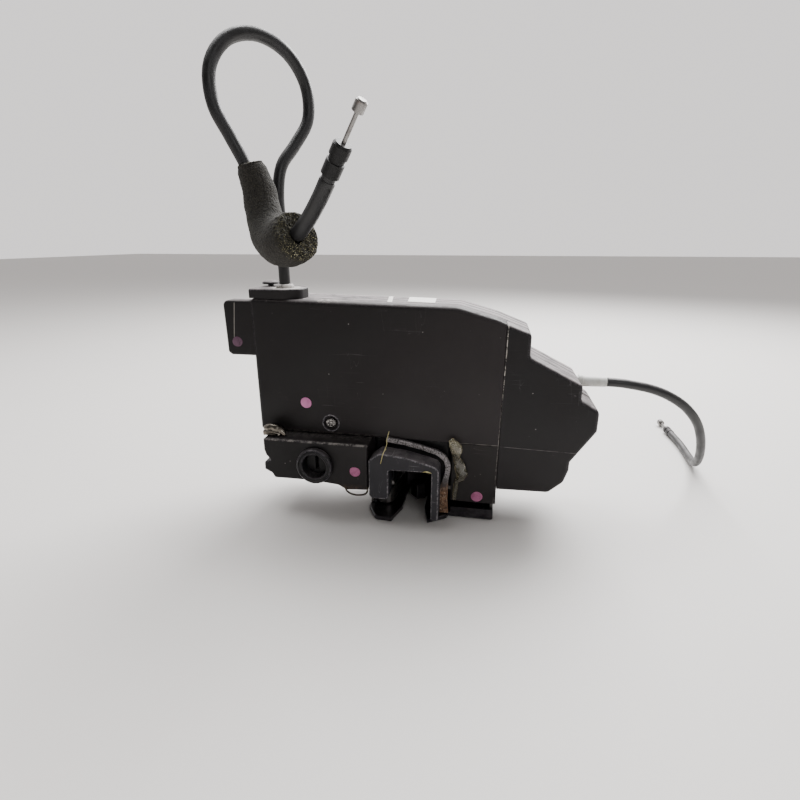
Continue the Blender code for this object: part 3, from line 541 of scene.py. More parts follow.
# surfaces from arrays
def latticeNoise(points, scale, seed=1):
    # smooth value noise: random numbers on a cubic lattice, blended by a smooth step between lattice corners
    p = np.asarray(points, float) * scale
    cell = np.floor(p).astype(np.int64)
    share = p - cell
    share = share * share * (3 - 2 * share)
    total = 0.0
    for corner in itertools.product((0, 1), repeat=3):
        c = cell + corner
        h = c[..., 0] * 374761393 + c[..., 1] * 668265263 + c[..., 2] * 1442695041
        h = (h + seed * 1274126177) & 0xFFFFFFFF
        h = ((h ^ (h >> 13)) * 1274126177) & 0xFFFFFFFF
        h = (h ^ (h >> 16)) & 0xFFFF
        weight = np.prod(np.where(np.array(corner) == 1, share, 1 - share), axis=-1)
        total = total + weight * h / 65535.0
    return total * 2 - 1


def gridPart(grid, edge=None, wrapRows=False, cutFace=None):
    # grid is rows x columns x 3 in millimetres; columns always wrap, and rows that don't wrap end in a cap
    rows, columns = grid.shape[:2]
    index = np.arange(rows * columns).reshape(rows, columns)
    after = np.roll(index, -1, axis=1)
    if wrapRows:
        upper, upperAfter = np.roll(index, -1, axis=0), np.roll(after, -1, axis=0)
        quads = np.stack([index, after, upperAfter, upper], axis=-1).reshape(-1, 4)
    else:
        quads = np.stack([index[:-1], after[:-1], after[1:], index[1:]], axis=-1).reshape(-1, 4)
    faces = quads.tolist()
    if not wrapRows:
        faces.append(index[0][::-1].tolist())
        faces.append(index[-1].tolist())

    def spread(row):
        values = np.zeros(rows) if row is None else np.asarray(row, float)
        return np.repeat(values, columns)

    return {"points": grid.reshape(-1, 3), "faces": faces, "edge": spread(edge), "cut": spread(cutFace)}


def roundRing(corners, inset=0.0, steps=6, even=False):
    # the outline moved inward by inset, each corner an arc of steps + 1 points, corners anticlockwise; a
    # corner's fourth value scales the inset of the edge that leaves it, so an edge that meets a neighbour
    # stays nearly square
    c = np.array([(*k, *(0.0, 1.0)[len(k) - 2:]) for k in corners], float)
    area = np.sum(np.roll(c[:, 0], 1) * c[:, 1] - c[:, 0] * np.roll(c[:, 1], 1))
    if area < 0:
        share = np.roll(c[:, 3], 1)
        c = np.column_stack([c[:, :3], share])[::-1]
    p = c[:, :2]
    w1 = np.ones(len(c)) if even else c[:, 3]
    w0 = np.roll(w1, 1)
    before = p - np.roll(p, 1, axis=0)
    ahead = np.roll(p, -1, axis=0) - p
    lengthBefore = np.linalg.norm(before, axis=1)
    lengthAhead = np.linalg.norm(ahead, axis=1)
    d0, d1 = before / lengthBefore[:, None], ahead / lengthAhead[:, None]
    n0 = np.stack([-d0[:, 1], d0[:, 0]], axis=1)
    n1 = np.stack([-d1[:, 1], d1[:, 0]], axis=1)
    dot = np.sum(d0 * d1, axis=1)
    cross = d0[:, 0] * d1[:, 1] - d0[:, 1] * d1[:, 0]
    plain = (n0 + n1) * ((w0 + w1) / 2 / np.maximum(0.35, 1 + dot))[:, None]
    square = np.maximum(1 - dot ** 2, 0.04)
    met = n0 * ((w0 - w1 * dot) / square)[:, None] + n1 * ((w1 - w0 * dot) / square)[:, None]
    moved = p + np.where((np.abs(w0 - w1) > 0.01)[:, None] & (square > 0.05)[:, None], met, plain) * inset
    side = np.sign(cross)
    tangent = np.abs(cross) / np.maximum(0.05, 1 + dot)
    limit = 0.47 * np.minimum(lengthBefore, lengthAhead) / np.maximum(tangent, 1e-6)
    radius = np.clip(np.minimum(c[:, 2], limit) - inset * side * np.minimum(w0, w1), 0.03, None)
    reach = radius * tangent
    start = moved - d0 * reach[:, None]
    centre = start + n0 * (radius * side)[:, None]
    angle = np.arctan2(cross, dot)[:, None] * np.linspace(0, 1, steps + 1)
    arm = start - centre
    x = centre[:, :1] + arm[:, :1] * np.cos(angle) - arm[:, 1:] * np.sin(angle)
    y = centre[:, 1:] + arm[:, :1] * np.sin(angle) + arm[:, 1:] * np.cos(angle)
    return np.stack([x.ravel(), y.ravel()], axis=1)


def rounding(depth, radius, direction, count=5):
    # quarter circle between a face at depth and the side wall; the middle of it is the rubbed edge
    angle = np.linspace(0, math.pi / 2, count + 1)
    rows = np.stack([radius * (1 - np.sin(angle)), depth + direction * radius * (1 - np.cos(angle)),
                     np.sin(2 * angle) ** 0.7], axis=1)
    rows = [tuple(r) for r in rows]
    held = [(radius + 0.7, depth, 0.0)]
    return held + rows if direction > 0 else rows[::-1] + held


def laid(ring, depth, axis):
    # a ring in the piece's own plane, set at depth along its axis
    along = np.full(len(ring), float(depth))
    a, b = ring.T
    order = {"Y": (a, along, b), "Z": (a, b, along), "X": (along, a, b)}
    return np.stack(order[axis], axis=1)


def shellPart(corners, profile, axis="Y", steps=6):
    # the outline carried along its axis; profile rows are (inset, depth, edge, even)
    rows = [(*row, *(0.0, False)[len(row) - 2:]) for row in profile]
    grid = np.stack([laid(roundRing(corners, row[0], steps, row[3]), row[1], axis) for row in rows])
    return gridPart(grid, edge=[row[2] for row in rows])


def solidProfile(low, high, radius):
    # a slab from low to high with both rims rounded
    wall = [(0, low + radius + 0.4), (0, high - radius - 0.4)]
    return rounding(low, radius, 1) + wall + rounding(high, radius, -1)


def trayProfile(front, rim, radius, wall, lipRadius=0.4):
    # a hollow tray: rounded front face, side wall, small lip at the rim, then back inside to the floor
    rows = rounding(front, radius, 1) + [(0, front + radius + 0.4), (0, rim - lipRadius - 0.3)]
    rows += [(0.0, rim - lipRadius, 0.3), (lipRadius * 0.3, rim - lipRadius * 0.3, 1.0), (lipRadius, rim, 0.3)]
    return rows + [(wall, depth, 0.0, True) for depth in (rim, rim - 0.5, front + wall + 0.5, front + wall)]


def turnedPart(profile, centre, axis="Y", count=64, closed=False, lobes=None):
    # profile rows are (radius, along, edge) turned about the axis; lobes adds a six-lobed wave to each row
    rows = np.array([(*r, 0.0)[:3] for r in profile], float)
    angle = np.linspace(0, 2 * math.pi, count, endpoint=False)
    wave = np.zeros(len(rows)) if lobes is None else np.array(lobes, float)
    radius = rows[:, :1] + wave[:, None] * np.cos(6 * angle)
    a = centre[0] + radius * np.cos(angle)
    b = centre[1] + radius * np.sin(angle)
    along = np.broadcast_to(rows[:, 1:2], a.shape)
    order = {"Y": (a, along, b), "Z": (a, b, along), "X": (along, a, b)}
    return gridPart(np.stack(order[axis], axis=-1), edge=rows[:, 2], wrapRows=closed)


def routeFrames(route):
    # for each point of a route: its direction and two steady directions across it
    route = np.asarray(route, float)
    ahead = np.gradient(route, axis=0)
    ahead /= np.linalg.norm(ahead, axis=1)[:, None]
    side = np.zeros_like(route)
    side[0] = np.cross(ahead[0], (0.3, 1.0, 0.2))
    for i in range(len(route)):
        if i:
            side[i] = side[i - 1]
        side[i] -= ahead[i] * np.dot(side[i], ahead[i])
        side[i] /= np.linalg.norm(side[i])
    return ahead, side, np.cross(ahead, side)


def tubePart(route, radii, count=24, bore=None):
    # rings across a route; with a bore the wall turns back inside and the rows wrap
    route = np.asarray(route, float)
    ahead, side, over = routeFrames(route)
    angle = np.linspace(0, 2 * math.pi, count, endpoint=False)
    across = side[:, None] * np.cos(angle)[:, None] + over[:, None] * np.sin(angle)[:, None]
    outer = route[:, None] + across * np.asarray(radii, float).reshape(-1, 1, 1)
    if bore is None:
        return gridPart(outer)
    inner = (route[:, None] + across * bore)[::-1]
    return gridPart(np.concatenate([outer, inner]), wrapRows=True)


def smoothRoute(points, spacing):
    # Catmull-Rom curve through the points, sampled at even spacing
    p = np.asarray(points, float)
    p = np.vstack([2 * p[0] - p[1], p, 2 * p[-1] - p[-2]])
    t = np.linspace(0, 1, 20, endpoint=False)[None, :, None]
    p0, p1, p2, p3 = (p[k:len(p) - 3 + k][:, None] for k in range(4))
    dense = 0.5 * (2 * p1 + (p2 - p0) * t + (2 * p0 - 5 * p1 + 4 * p2 - p3) * t ** 2
                   + (3 * p1 - p0 - 3 * p2 + p3) * t ** 3)
    dense = np.vstack([dense.reshape(-1, 3), p[-2]])
    run = np.concatenate([[0], np.cumsum(np.linalg.norm(np.diff(dense, axis=0), axis=1))])
    places = np.linspace(0, run[-1], max(2, round(run[-1] / spacing) + 1))
    return np.stack([np.interp(places, run, dense[:, k]) for k in range(3)], axis=1)


def makePiece(name, parts, material, replaces=(), sharp=32.0):
    # one mesh from closed parts; it rides the housing, as every handmade piece does
    points, faces, edge, cut, base = [], [], [], [], 0
    for part in parts:
        points.append(part["points"])
        faces += [[k + base for k in face] for face in part["faces"]]
        edge.append(part["edge"])
        cut.append(part["cut"])
        base += len(part["points"])
    mesh = bpy.data.meshes.new(name)
    mesh.from_pydata(place(np.concatenate(points)).tolist(), [], faces)
    for label, values in (("edgeMask", edge), ("cutFace", cut)):
        layer = mesh.attributes.new(label, "FLOAT", "POINT")
        layer.data.foreach_set("value", np.concatenate(values).astype(np.float32))
    form = bmesh.new()
    form.from_mesh(mesh)
    bmesh.ops.remove_doubles(form, verts=form.verts, dist=2e-6)
    bmesh.ops.recalc_face_normals(form, faces=form.faces)
    form.to_mesh(mesh)
    form.free()
    piece = bpy.data.objects.new(name, mesh)
    bpy.context.scene.collection.objects.link(piece)
    polish(piece, sharp)
    mesh.materials.append(finishes[material])
    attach(piece, "housing")
    if replaces:
        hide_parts(*replaces)
    return piece


def polish(piece, sharp=32.0):
    # smooth faces, edges sharper than the angle kept, normals weighted by face area
    piece.data.polygons.foreach_set("use_smooth", np.ones(len(piece.data.polygons), bool))
    piece.data.set_sharp_from_angle(angle=math.radians(sharp))
    steady = piece.modifiers.new("steady normals", "WEIGHTED_NORMAL")
    steady.keep_sharp = True
    steady.weight = 80


def carve(piece, part):
    # cuts a closed part out of the piece and keeps the result as its mesh
    tool = makePiece(piece.name + "Tool", [part], "dark")
    piece.modifiers.clear()
    step = piece.modifiers.new("cut", "BOOLEAN")
    step.object = tool
    step.solver = "EXACT"
    bpy.context.view_layer.update()
    old = piece.data
    piece.data = bpy.data.meshes.new_from_object(piece.evaluated_get(bpy.context.evaluated_depsgraph_get()))
    piece.modifiers.clear()
    bpy.data.meshes.remove(old)
    bpy.data.objects.remove(tool)
    polish(piece)


# cables: each route is given in millimetres from the gland or ferrule to the fitting
handleCable = {
    "diameter": 6.0,
    "route": [(-68, 9.6, 126.6), (-68, 9.6, 142), (-68, 9.6, 158), (-68, 9.6, 174), (-66.1, 11.7, 186.8),
              (-60.6, 17.6, 197.1), (-55, 23.7, 210), (-55.4, 23.2, 225.4), (-61.7, 16.4, 237.6),
              (-71.7, 5.6, 242.2), (-81.2, -5.2, 237.6), (-87.2, -12, 225.4), (-86.8, -13.2, 210),
              (-81.6, -10.2, 197.1), (-76.4, -7.6, 185.0), (-73.4, -6.4, 174.0), (-71.6, -7.6, 164.6),
              (-68.2, -10.4, 156.8), (-63.2, -14.6, 151.8), (-57.2, -19.2, 149.6), (-50.8, -23.8, 150.0),
              (-44.8, -28.0, 152.6), (-39.2, -31.6, 156.8), (-33.8, -35.0, 162.2), (-28.4, -38.4, 168.6),
              (-23.4, -41.6, 175.4)],
}
releaseCable = {
    "diameter": 5.0,
    "route": [(108.4, 26, 76.8), (114, 26.2, 76.6), (120, 27, 75.8), (132, 29.5, 73.2), (143, 32, 68.8),
              (154, 36, 61.5), (163.5, 41.5, 51), (171, 50, 37.5), (177, 61.5, 23), (182, 76, 11.5),
              (186.5, 93, 5), (189.5, 111, 2.9), (191, 130, 2.9), (191, 150, 2.9)],
}


def sheathCurve(name, facts, node):
    # one open spline swept with the sheath's radius
    points = smoothRoute(facts["route"], 3.0)
    curve = bpy.data.curves.new(name, "CURVE")
    curve.dimensions = "3D"
    curve.bevel_depth = facts["diameter"] * 0.0005
    curve.bevel_resolution = 8
    curve.use_fill_caps = True
    line = curve.splines.new("POLY")
    line.points.add(len(points) - 1)
    line.points.foreach_set("co", np.hstack([place(points), np.ones((len(points), 1))]).ravel())
    line.use_smooth = True
    curve.materials.append(finishes["sheath"])
    piece = bpy.data.objects.new(name, curve)
    bpy.context.scene.collection.objects.link(piece)
    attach(piece, "housing")
    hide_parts(node)
    facts["run"] = float(np.sum(np.linalg.norm(np.diff(points, axis=0), axis=1)))
    facts["end"] = points[-1]
    facts["heading"] = (points[-1] - points[-2]) / np.linalg.norm(points[-1] - points[-2])
    return piece


def endPieces(prefix, facts, outer, nodes, far):
    # fitting, inner wire and nipple in line with the end of a cable; stations are (distance, radius)
    def station(distance):
        return facts["end"] + facts["heading"] * distance

    def inLine(rows):
        return tubePart([station(d) for d, _ in rows], [r for _, r in rows], 40)

    shape = [(0.25, outer * 0.85), (0.3, outer), (far * 0.45, outer), (far * 0.47, outer * 0.86),
             (far * 0.6, outer * 0.86), (far * 0.62, outer), (far * 0.93, outer), (far, outer * 0.8),
             (far + 0.02, outer * 0.3)]
    fitting = makePiece(prefix + "EndFitting", [inLine(shape)], "dark", (nodes[0],))
    wire = [(far - 1.0, 0.9), (far + 4, 0.9), (far + 12, 0.9)]
    inner = makePiece(prefix + "InnerWire", [inLine(wire)], "steel", (nodes[1],))
    bead = [(far + 12.2, 1.4), (far + 12.6, 2.4), (far + 16.6, 2.4), (far + 17.2, 1.7)]
    nipple = makePiece(prefix + "Nipple", [inLine(bead)], "steel", (nodes[2],))
    return [fitting, inner, nipple]


handleSheath = sheathCurve("handleCableSheath", handleCable, "handle_cable")
releaseSheath = sheathCurve("releaseCableSheath", releaseCable, "release_cable")
handleNodes = ("handle_cable_end", "handle_wire", "handle_wire_nipple")
releaseNodes = ("release_cable_end", "release_wire", "release_wire_nipple")
handleEnds = endPieces("handleCable", handleCable, 4.0, handleNodes, 14.0)
releaseEnds = endPieces("releaseCable", releaseCable, 2.8, releaseNodes, 10.7)

# foam sleeve on the handle cable, on part of the cable's own route
foamSleeve = {"route": handleCable["route"][14:22], "bore": 3.6, "outer": (6.9, 11.3),
              "lean": ((2.4, 0.0, 0.0), (0.9, 0.0, 0.2))}


def buildFoam():
    # tube wall out along the route, over the cut end ring and back down the bore; noise lumps the skin, and its
    # middle leans off the cable
    route = smoothRoute(foamSleeve["route"], 0.5)
    ahead, side, over = routeFrames(route)
    angle = np.linspace(0, 2 * math.pi, 150, endpoint=False)
    across = side[:, None] * np.cos(angle)[:, None] + over[:, None] * np.sin(angle)[:, None]
    share = np.linspace(0, 1, len(route))
    thin, thick = foamSleeve["outer"]
    radius = thin + (thick - thin) * np.minimum(1, share * 1.25)
    radius = radius - 0.9 * np.clip((share - 0.95) / 0.05, 0, 1) ** 2
    radius = radius - 0.8 * np.clip((0.04 - share) / 0.04, 0, 1)
    lean = [np.interp(share, (0, 0.45, 0.8, 1), (a, a, b, b)) for a, b in zip(*foamSleeve["lean"])]
    lean = np.stack(lean, axis=1)
    outer = (route + lean)[:, None] + across * radius[:, None, None]
    rough = (0.4 + np.clip((share - 0.8) / 0.2, 0, 1))[:, None]
    crumbs = latticeNoise(outer, 0.9, 5) * 0.3 + latticeNoise(outer, 2.4, 8) * 0.24
    lumps = latticeNoise(outer, 0.16, 3) * 0.35 + crumbs * rough
    outer = outer + across * lumps[..., None]

    def disc(point, shift, direction, spread, big, bite):
        # rings from the rim in to the bore, crowned and torn along the direction
        rings = np.linspace(0.99, (foamSleeve["bore"] + 0.05) / big, 28)
        held = (rings - rings[-1]) / (rings[0] - rings[-1])
        flat = point + shift * held[:, None, None] + spread[None] * (rings * big)[:, None, None]
        crumb = latticeNoise(flat, 0.55, 11) * 0.5 + latticeNoise(flat, 1.5, 12) * 0.45
        crumb = crumb + latticeNoise(flat, 3.4, 13) * 0.3
        crown = np.sqrt(np.clip(1 - rings ** 2, 0, 1))[:, None] * 0.9
        torn = crumb * np.minimum(1, (1 - rings) * 12 + 0.2)[:, None]
        return flat + direction * ((crown + torn) * bite)[..., None]

    face = disc(route[-1], lean[-1], ahead[-1], across[-1], radius[-1] + 0.1, 1.0)
    back = disc(route[0], lean[0], -ahead[0], across[0], radius[0] + 0.1, 0.4)[::-1]
    inner = (route[:, None] + across * foamSleeve["bore"])[::-1]
    cut = np.concatenate([np.clip((share - 0.95) / 0.05, 0, 1), np.ones(len(face)), np.ones(len(inner)) * 0.6,
                          np.ones(len(back))])
    wall = gridPart(np.concatenate([outer, face, inner, back]), wrapRows=True, cutFace=cut)
    return makePiece("foamSleeve", [wall], "foam", ("foam_sleeve",), sharp=80)


oversleeve = {"start": 0.89, "radius": 3.5, "bore": 3.05, "endRound": 0.25}


def buildOversleeve():
    # thin tube over the last stretch of the sheath, from inside the foam to just short of the fitting
    route = smoothRoute(handleCable["route"], 1.0)
    route = route[int(oversleeve["start"] * len(route)):-2]
    radii = np.full(len(route), oversleeve["radius"])
    radii[-1] -= oversleeve["endRound"]
    return makePiece("cableOversleeve", [tubePart(route, radii, 32, bore=oversleeve["bore"])], "sheath")


foamPiece = buildFoam()
oversleevePiece = buildOversleeve()
print("cables and foam laid", round(handleCable["run"]), round(releaseCable["run"]))

# front cover, its ear, and the cover of the right lobe; outline points are (x, z, corner radius, inset share)
lobeEdge = [(79.6, 19.5, 4), (87.0, 26.4, 5), (89.2, 33.6, 3), (89.2, 38.4, 2), (100.9, 56.7, 3),
            (100.9, 68, 4)]
mainCover = {
    "outline": [(-85, 45.2, 2, 0.6), (-17, 45.2, 0.1, 0.2), (24, 45.2, 0.1, 0.06), (51.85, 45.0, 0.1, 0.06),
                (51.85, 111.1, 0.3), (47.2, 113, 4), (27.2, 118.6, 14), (-85, 121, 2.4)],
    "front": 0.0, "rim": 12.0, "round": 2.0, "wall": 2.2,
}
ear = {
    "outline": [(-83.6, 89.4, 0.4), (-83.6, 119.6, 0.4), (-100.9, 119.6, 3), (-100.6, 91, 1.2),
                (-98.5, 89.4, 1.4)],
    "front": 0.05, "back": 9.0, "round": 1.0,
}
lobeCover = {
    "outline": [(51.95, 18.9, 0.4), *lobeEdge, (91.4, 73.2, 1.5), (91.4, 81.1, 3), (64.4, 94.7, 1.5),
                (64.4, 106.4, 3), (51.95, 111.0, 0.3, 0.06)],
    "front": 0.0, "rim": 12.0, "round": 1.8, "wall": 2.2,
}
frontScrew = {
    "spot": (-42.1, 52.1), "face": -0.3,
    "recess": [(4.4, -3), (4.4, 1.3), (4.1, 1.6)], "hole": [(1.8, 0), (1.8, 5)],
    "lip": [(4.35, 0.4), (4.35, -0.1, 0.6), (4.55, -0.22, 1), (4.9, -0.22, 1), (5.15, 0.0, 0.4), (5.2, 0.4)],
}


def coverPart(facts):
    return shellPart(facts["outline"], trayProfile(facts["front"], facts["rim"], facts["round"], facts["wall"]))


frontCover = makePiece("frontCover", [coverPart(mainCover)], "cover", ("front_cover",))
carve(frontCover, turnedPart(frontScrew["recess"], frontScrew["spot"]))
carve(frontCover, turnedPart(frontScrew["hole"], frontScrew["spot"]))
earPart = shellPart(ear["outline"], solidProfile(ear["front"], ear["back"], ear["round"]))
makePiece("coverEar", [earPart], "cover")
makePiece("sideCover", [coverPart(lobeCover)], "side", ("side_cover",))

# rear housing: one tray with lengthwise grooves in its wall; profile rows are (inset, depth, edge)
rear = {
    "outline": [(-85, 45.2, 1.5), (52.0, 45.2, 0.5), (52.0, 18.9, 1), *lobeEdge, (91.4, 73.2, 1),
                (91.4, 81.1, 3), (64.4, 94.7, 1.5), (64.4, 106.4, 3), (47.2, 113, 3), (27.2, 118.6, 10), (-85, 121, 2)],
    "inside": [(2.2, 34.8), (2.2, 34.3), (2.2, 12.8), (2.2, 12.3)],
    "rim": [(0.4, 12.3, 0.4), (0.0, 12.7, 1.0), (0.0, 13.3)],
    "grooves": [(0.05, 20.6, 0), (0.0, 20.8, 1), (0.7, 21.2, 0), (0.7, 21.8, 0), (0.0, 22.2, 1),
                (0.0, 28.4, 1), (0.6, 28.8, 0), (0.6, 29.3, 0), (0.0, 29.7, 1), (0.0, 30.2, 0)],
    "shoulder": (0, 34.4), "back": 37.0, "round": 2.0,
    "cableHole": (26, 76.8), "cableHoleRadius": 3.5,
    "plugHole": [(14.3, 97.3, 1), (27.7, 97.3, 1), (27.7, 108.7, 1), (14.3, 108.7, 1)],
}
rearProfile = rear["inside"] + rear["rim"] + rear["grooves"] + [rear["shoulder"]]
rearProfile += rounding(rear["back"], rear["round"], -1)
rearHousing = makePiece("rearHousing", [shellPart(rear["outline"], rearProfile)], "rear", ("rear_housing",))
cableDrill = [(rear["cableHoleRadius"], 80), (rear["cableHoleRadius"], 100)]
carve(rearHousing, turnedPart(cableDrill, rear["cableHole"], "X"))
carve(rearHousing, shellPart(rear["plugHole"], [(0, -90), (0, -80)], "X"))

# boss on the sloping top, with the cable's gland and the mushroom clip; profile rows are (radius, height, edge)
boss = {
    "outline": [(-85.6, 0.3, 1.4), (-66.5, 0.3, 5), (-57.6, 6.5, 6), (-57.6, 19, 6), (-66, 25, 5),
                (-85.6, 25, 2)],
    "foot": [(0.6, 121.0), (0.0, 121.1), (0.0, 122.0), (0.0, 124.4)], "top": 126.0, "round": 1.2,
    "footBelow": 121.5, "left": -85.6, "fall": 0.0214,  # the foot follows the sloping top
}
gland = {
    "spot": (-68, 9.6),
    "profile": [(3.35, 126.1), (4.8, 126.1, 0.3), (4.85, 126.3, 0.6), (4.8, 127.0, 1), (4.4, 127.6, 0.6),
                (3.9, 128.0, 1), (3.35, 128.1)],
}
clip = {
    "spot": (-80.3, 18.5),
    "profile": [(1.6, 126.2), (1.6, 126.9), (4.6, 127.2, 0.5), (4.85, 127.5, 1), (4.5, 128.3, 0.5),
                (3.2, 129.0, 0), (1.2, 129.3, 0)],
}
bossPart = shellPart(boss["outline"], boss["foot"] + rounding(boss["top"], boss["round"], -1), "Z", 10)
underside = bossPart["points"][:, 2] < boss["footBelow"]
bossPart["points"][underside, 2] -= boss["fall"] * (bossPart["points"][underside, 0] - boss["left"])
makePiece("cableBoss", [bossPart], "boss", ("cable_boss",))
makePiece("handleCableGland", [turnedPart(gland["profile"], gland["spot"], "Z", closed=True)], "boss",
          ("handle_cable_gland",))
makePiece("mushroomClip", [turnedPart(clip["profile"], clip["spot"], "Z")], "boss", ("cable_clip",))
print("housing built")

# lower-left carrier and its key socket
carrier = {
    "outline": [(-78.6, 44.9, 1.2), (-78.6, 38, 1), (-77.7, 34.9, 1), (-74.9, 31.4, 0.6), (-79, 30.4, 1),
                (-79.1, 25.8, 1), (-75, 23.7, 1), (-73.3, 20.8, 1.5), (-51.8, 21, 4), (-35.5, 19.6, 4),
                (-31, 17.1, 2), (-18.2, 18, 1.5), (-18.2, 44.9, 1.2)],
    "front": -12.0, "rim": 30.0, "round": 1.2, "wall": 2.0,
    "lid": (30.3, 33.0), "lidInset": 0.2, "lidRound": 0.7,
}
socket = {
    "centre": (-48.0, 31.5), "hole": 8.95,
    "ring": [(6.9, -6.1), (8.65, -6.1), (8.65, -12.25), (9.9, -12.25), (10.25, -12.6, 0.5), (10.3, -13.2),
             (10.3, -14.8, 0.3), (10.0, -15.6, 1.0), (9.4, -16.1, 0.6), (8.9, -16.2), (8.6, -15.9),
             (8.4, -15.6), (8.1, -15.6), (7.5, -15.5, 0.4), (7.05, -15.1, 1.0), (6.9, -14.5, 0.2)],
}
carrierPiece = makePiece("lowerCarrier", [coverPart(carrier)], "carrier", ("lower_carrier",))
carve(carrierPiece, turnedPart([(socket["hole"], -20), (socket["hole"], 5)], socket["centre"]))
lidRows = solidProfile(*carrier["lid"], carrier["lidRound"])
lidProfile = [(row[0] + carrier["lidInset"], *row[1:]) for row in lidRows]
makePiece("carrierBackCover", [shellPart(carrier["outline"], lidProfile)], "carrier", ("carrier_back_cover",))
makePiece("keySocket", [turnedPart(socket["ring"], socket["centre"], count=96, closed=True)], "socket",
          ("key_socket",))
print("carrier built")

# screws: rows are (radius, depth behind the face, edge, height of the six-lobed wave)
screwRows = [(1.5, 6.0, 0, 0), (1.5, 1.75, 0, 0), (2.9, 1.7, 0, 0), (3.0, 1.5, 0.4, 0), (3.0, 0.7, 0.5, 0),
             (2.75, 0.25, 1, 0), (2.3, 0.02, 0.6, 0), (2.05, 0.0, 0.3, 0), (1.72, 0.0, 1.0, 0.26),
             (1.66, 0.14, 0.2, 0.24), (1.6, 1.1, 0, 0.22), (0.75, 1.2, 0, 0), (0.62, 0.7, 1.0, 0),
             (0.2, 0.62, 1.0, 0)]
rearScrews = {"spots": [(-78, 112), (-20, 112), (58, 100), (94, 62), (82, 28), (-78, 53)], "face": 39.0}


def buildScrew(name, spot, face, direction, material, replaced):
    # pan head with a six-lobed recess, its face at the given depth
    profile = [(radius, face + direction * depth, edge) for radius, depth, edge, wave in screwRows]
    head = turnedPart(profile, spot, lobes=[row[3] for row in screwRows], count=72)
    makePiece(name, [head], material, (replaced,), sharp=28)


buildScrew("frontScrew", frontScrew["spot"], frontScrew["face"], 1, "screw", "front_screw")
# the lip takes the paler guard moulding and its pale worn edges, a painted highlight on the rim of the recess
makePiece("screwRecessLip", [turnedPart(frontScrew["lip"], frontScrew["spot"], closed=True)], "guard")
for number, spot in enumerate(rearScrews["spots"], 1):
    buildScrew(f"rearScrew{number}", spot, rearScrews["face"], -1, "steel", f"rear_screw_{number}")

# latch body with its striker channel, claw chamber and pivot wells, and the cover on its right
body = {
    "outline": [(-17.5, 3.0, 2), (25.7, 3.0, 2), (25.7, 48.0, 2), (-17.5, 48.0, 2)],
    "height": (17.7, 44.8), "round": 1.0,
    "channel": [(-6.3, 14), (17.1, 14), (17.1, 32.6, 2), (-6.3, 32.6, 2)], "channelDepth": (-5, 38),
    "backWell": [(-5.9, 37.5, 1.5), (16.7, 37.5, 1.5), (16.7, 45.0, 1.5), (-5.9, 45.0, 1.5)],
    "backWellHeight": (17, 32.1),
    "clawWell": {"spot": (24.0, 29.0), "radius": 8.5, "height": (16, 29)},
    "pawlWell": {"spot": (-12.0, 7.0), "radius": 4.4, "height": (16, 20)},
}
lower = {
    "face": [(26.6, 9.7, 0.6), (51.85, 9.7, 0.4, 0.08), (51.85, 44.9, 0.1, 0.08), (26.6, 44.9, 0.2)],
    "faceDepth": (0.0, 2.6), "faceRound": 0.7,
    "block": [(26.2, 2.0, 0.8), (51.8, 2.0, 0.8), (51.8, 46.0, 2), (26.2, 46.0, 1)],
    "blockHeight": (17.7, 44.8), "blockRound": 0.8,
}
lowerParts = [shellPart(lower["face"], solidProfile(*lower["faceDepth"], lower["faceRound"]), "Y"),
              shellPart(lower["block"], solidProfile(*lower["blockHeight"], lower["blockRound"]), "Z")]
makePiece("lowerCover", lowerParts, "lower", ("lower_cover",))
bodyPart = shellPart(body["outline"], solidProfile(*body["height"], body["round"]), "Z")
latchBody = makePiece("latchBody", [bodyPart], "body", ("latch_body",))
carve(latchBody, shellPart(body["channel"], [(0, depth) for depth in body["channelDepth"]], "Y"))
carve(latchBody, shellPart(body["backWell"], [(0, height) for height in body["backWellHeight"]], "Z"))
for well in (body["clawWell"], body["pawlWell"]):
    carve(latchBody, turnedPart([(well["radius"], height) for height in well["height"]], well["spot"], "Z"))

# steel collar round the mouth and the moulded guard in front of it
collar = {
    "outer": [(-9.6, 46.8, 0.3), (0.8, 45.4, 6), (9.6, 43.5, 10), (19, 41.0, 8), (23.8, 38.4, 6),
              (26.3, 33.6, 5), (26.5, 30.0, 4), (25.4, 22.6, 4), (25.2, 11.3, 3), (25.9, 2.9, 0.4)],
    "inner": [(20.5, 2.9, 0.4), (20.5, 17, 2), (21.8, 22, 3), (23.0, 26.5, 4), (23.7, 31.4, 5), (22.6, 35.0, 4),
              (18.6, 38.2, 6), (9.8, 40.8, 8), (0.4, 42.7, 4), (-9.6, 44.0, 0.3)],
    "depth": (-2.6, -0.2), "round": 0.5,
}
guard = {
    "outline": [(-17.3, 14.5, 2.5), (-17.3, 37.3, 2.2), (-11.4, 41.8, 2.5), (-8.3, 41.6, 2), (2.1, 40.6, 3),
                (14.8, 37.6, 3), (19.2, 36.2, 2), (21.2, 34.0, 2), (21.2, 4.0, 1.2), (17.1, 4.0, 0.8),
                (17.1, 32.8, 1.5), (-6.3, 32.2, 1.5), (-6.3, 14.5, 2)],
    "depth": (-14.0, -2.9), "round": 0.9,
}
collarProfile = solidProfile(*collar["depth"], collar["round"])
collarPart = shellPart(collar["outer"] + collar["inner"], collarProfile, "Y", 8)
makePiece("mouthCollar", [collarPart], "collar", ("mouth_collar",))
guardPart = shellPart(guard["outline"], solidProfile(*guard["depth"], guard["round"]), "Y", 8)
makePiece("mouthGuard", [guardPart], "guard", ("mouth_guard",))
print("latch body built")

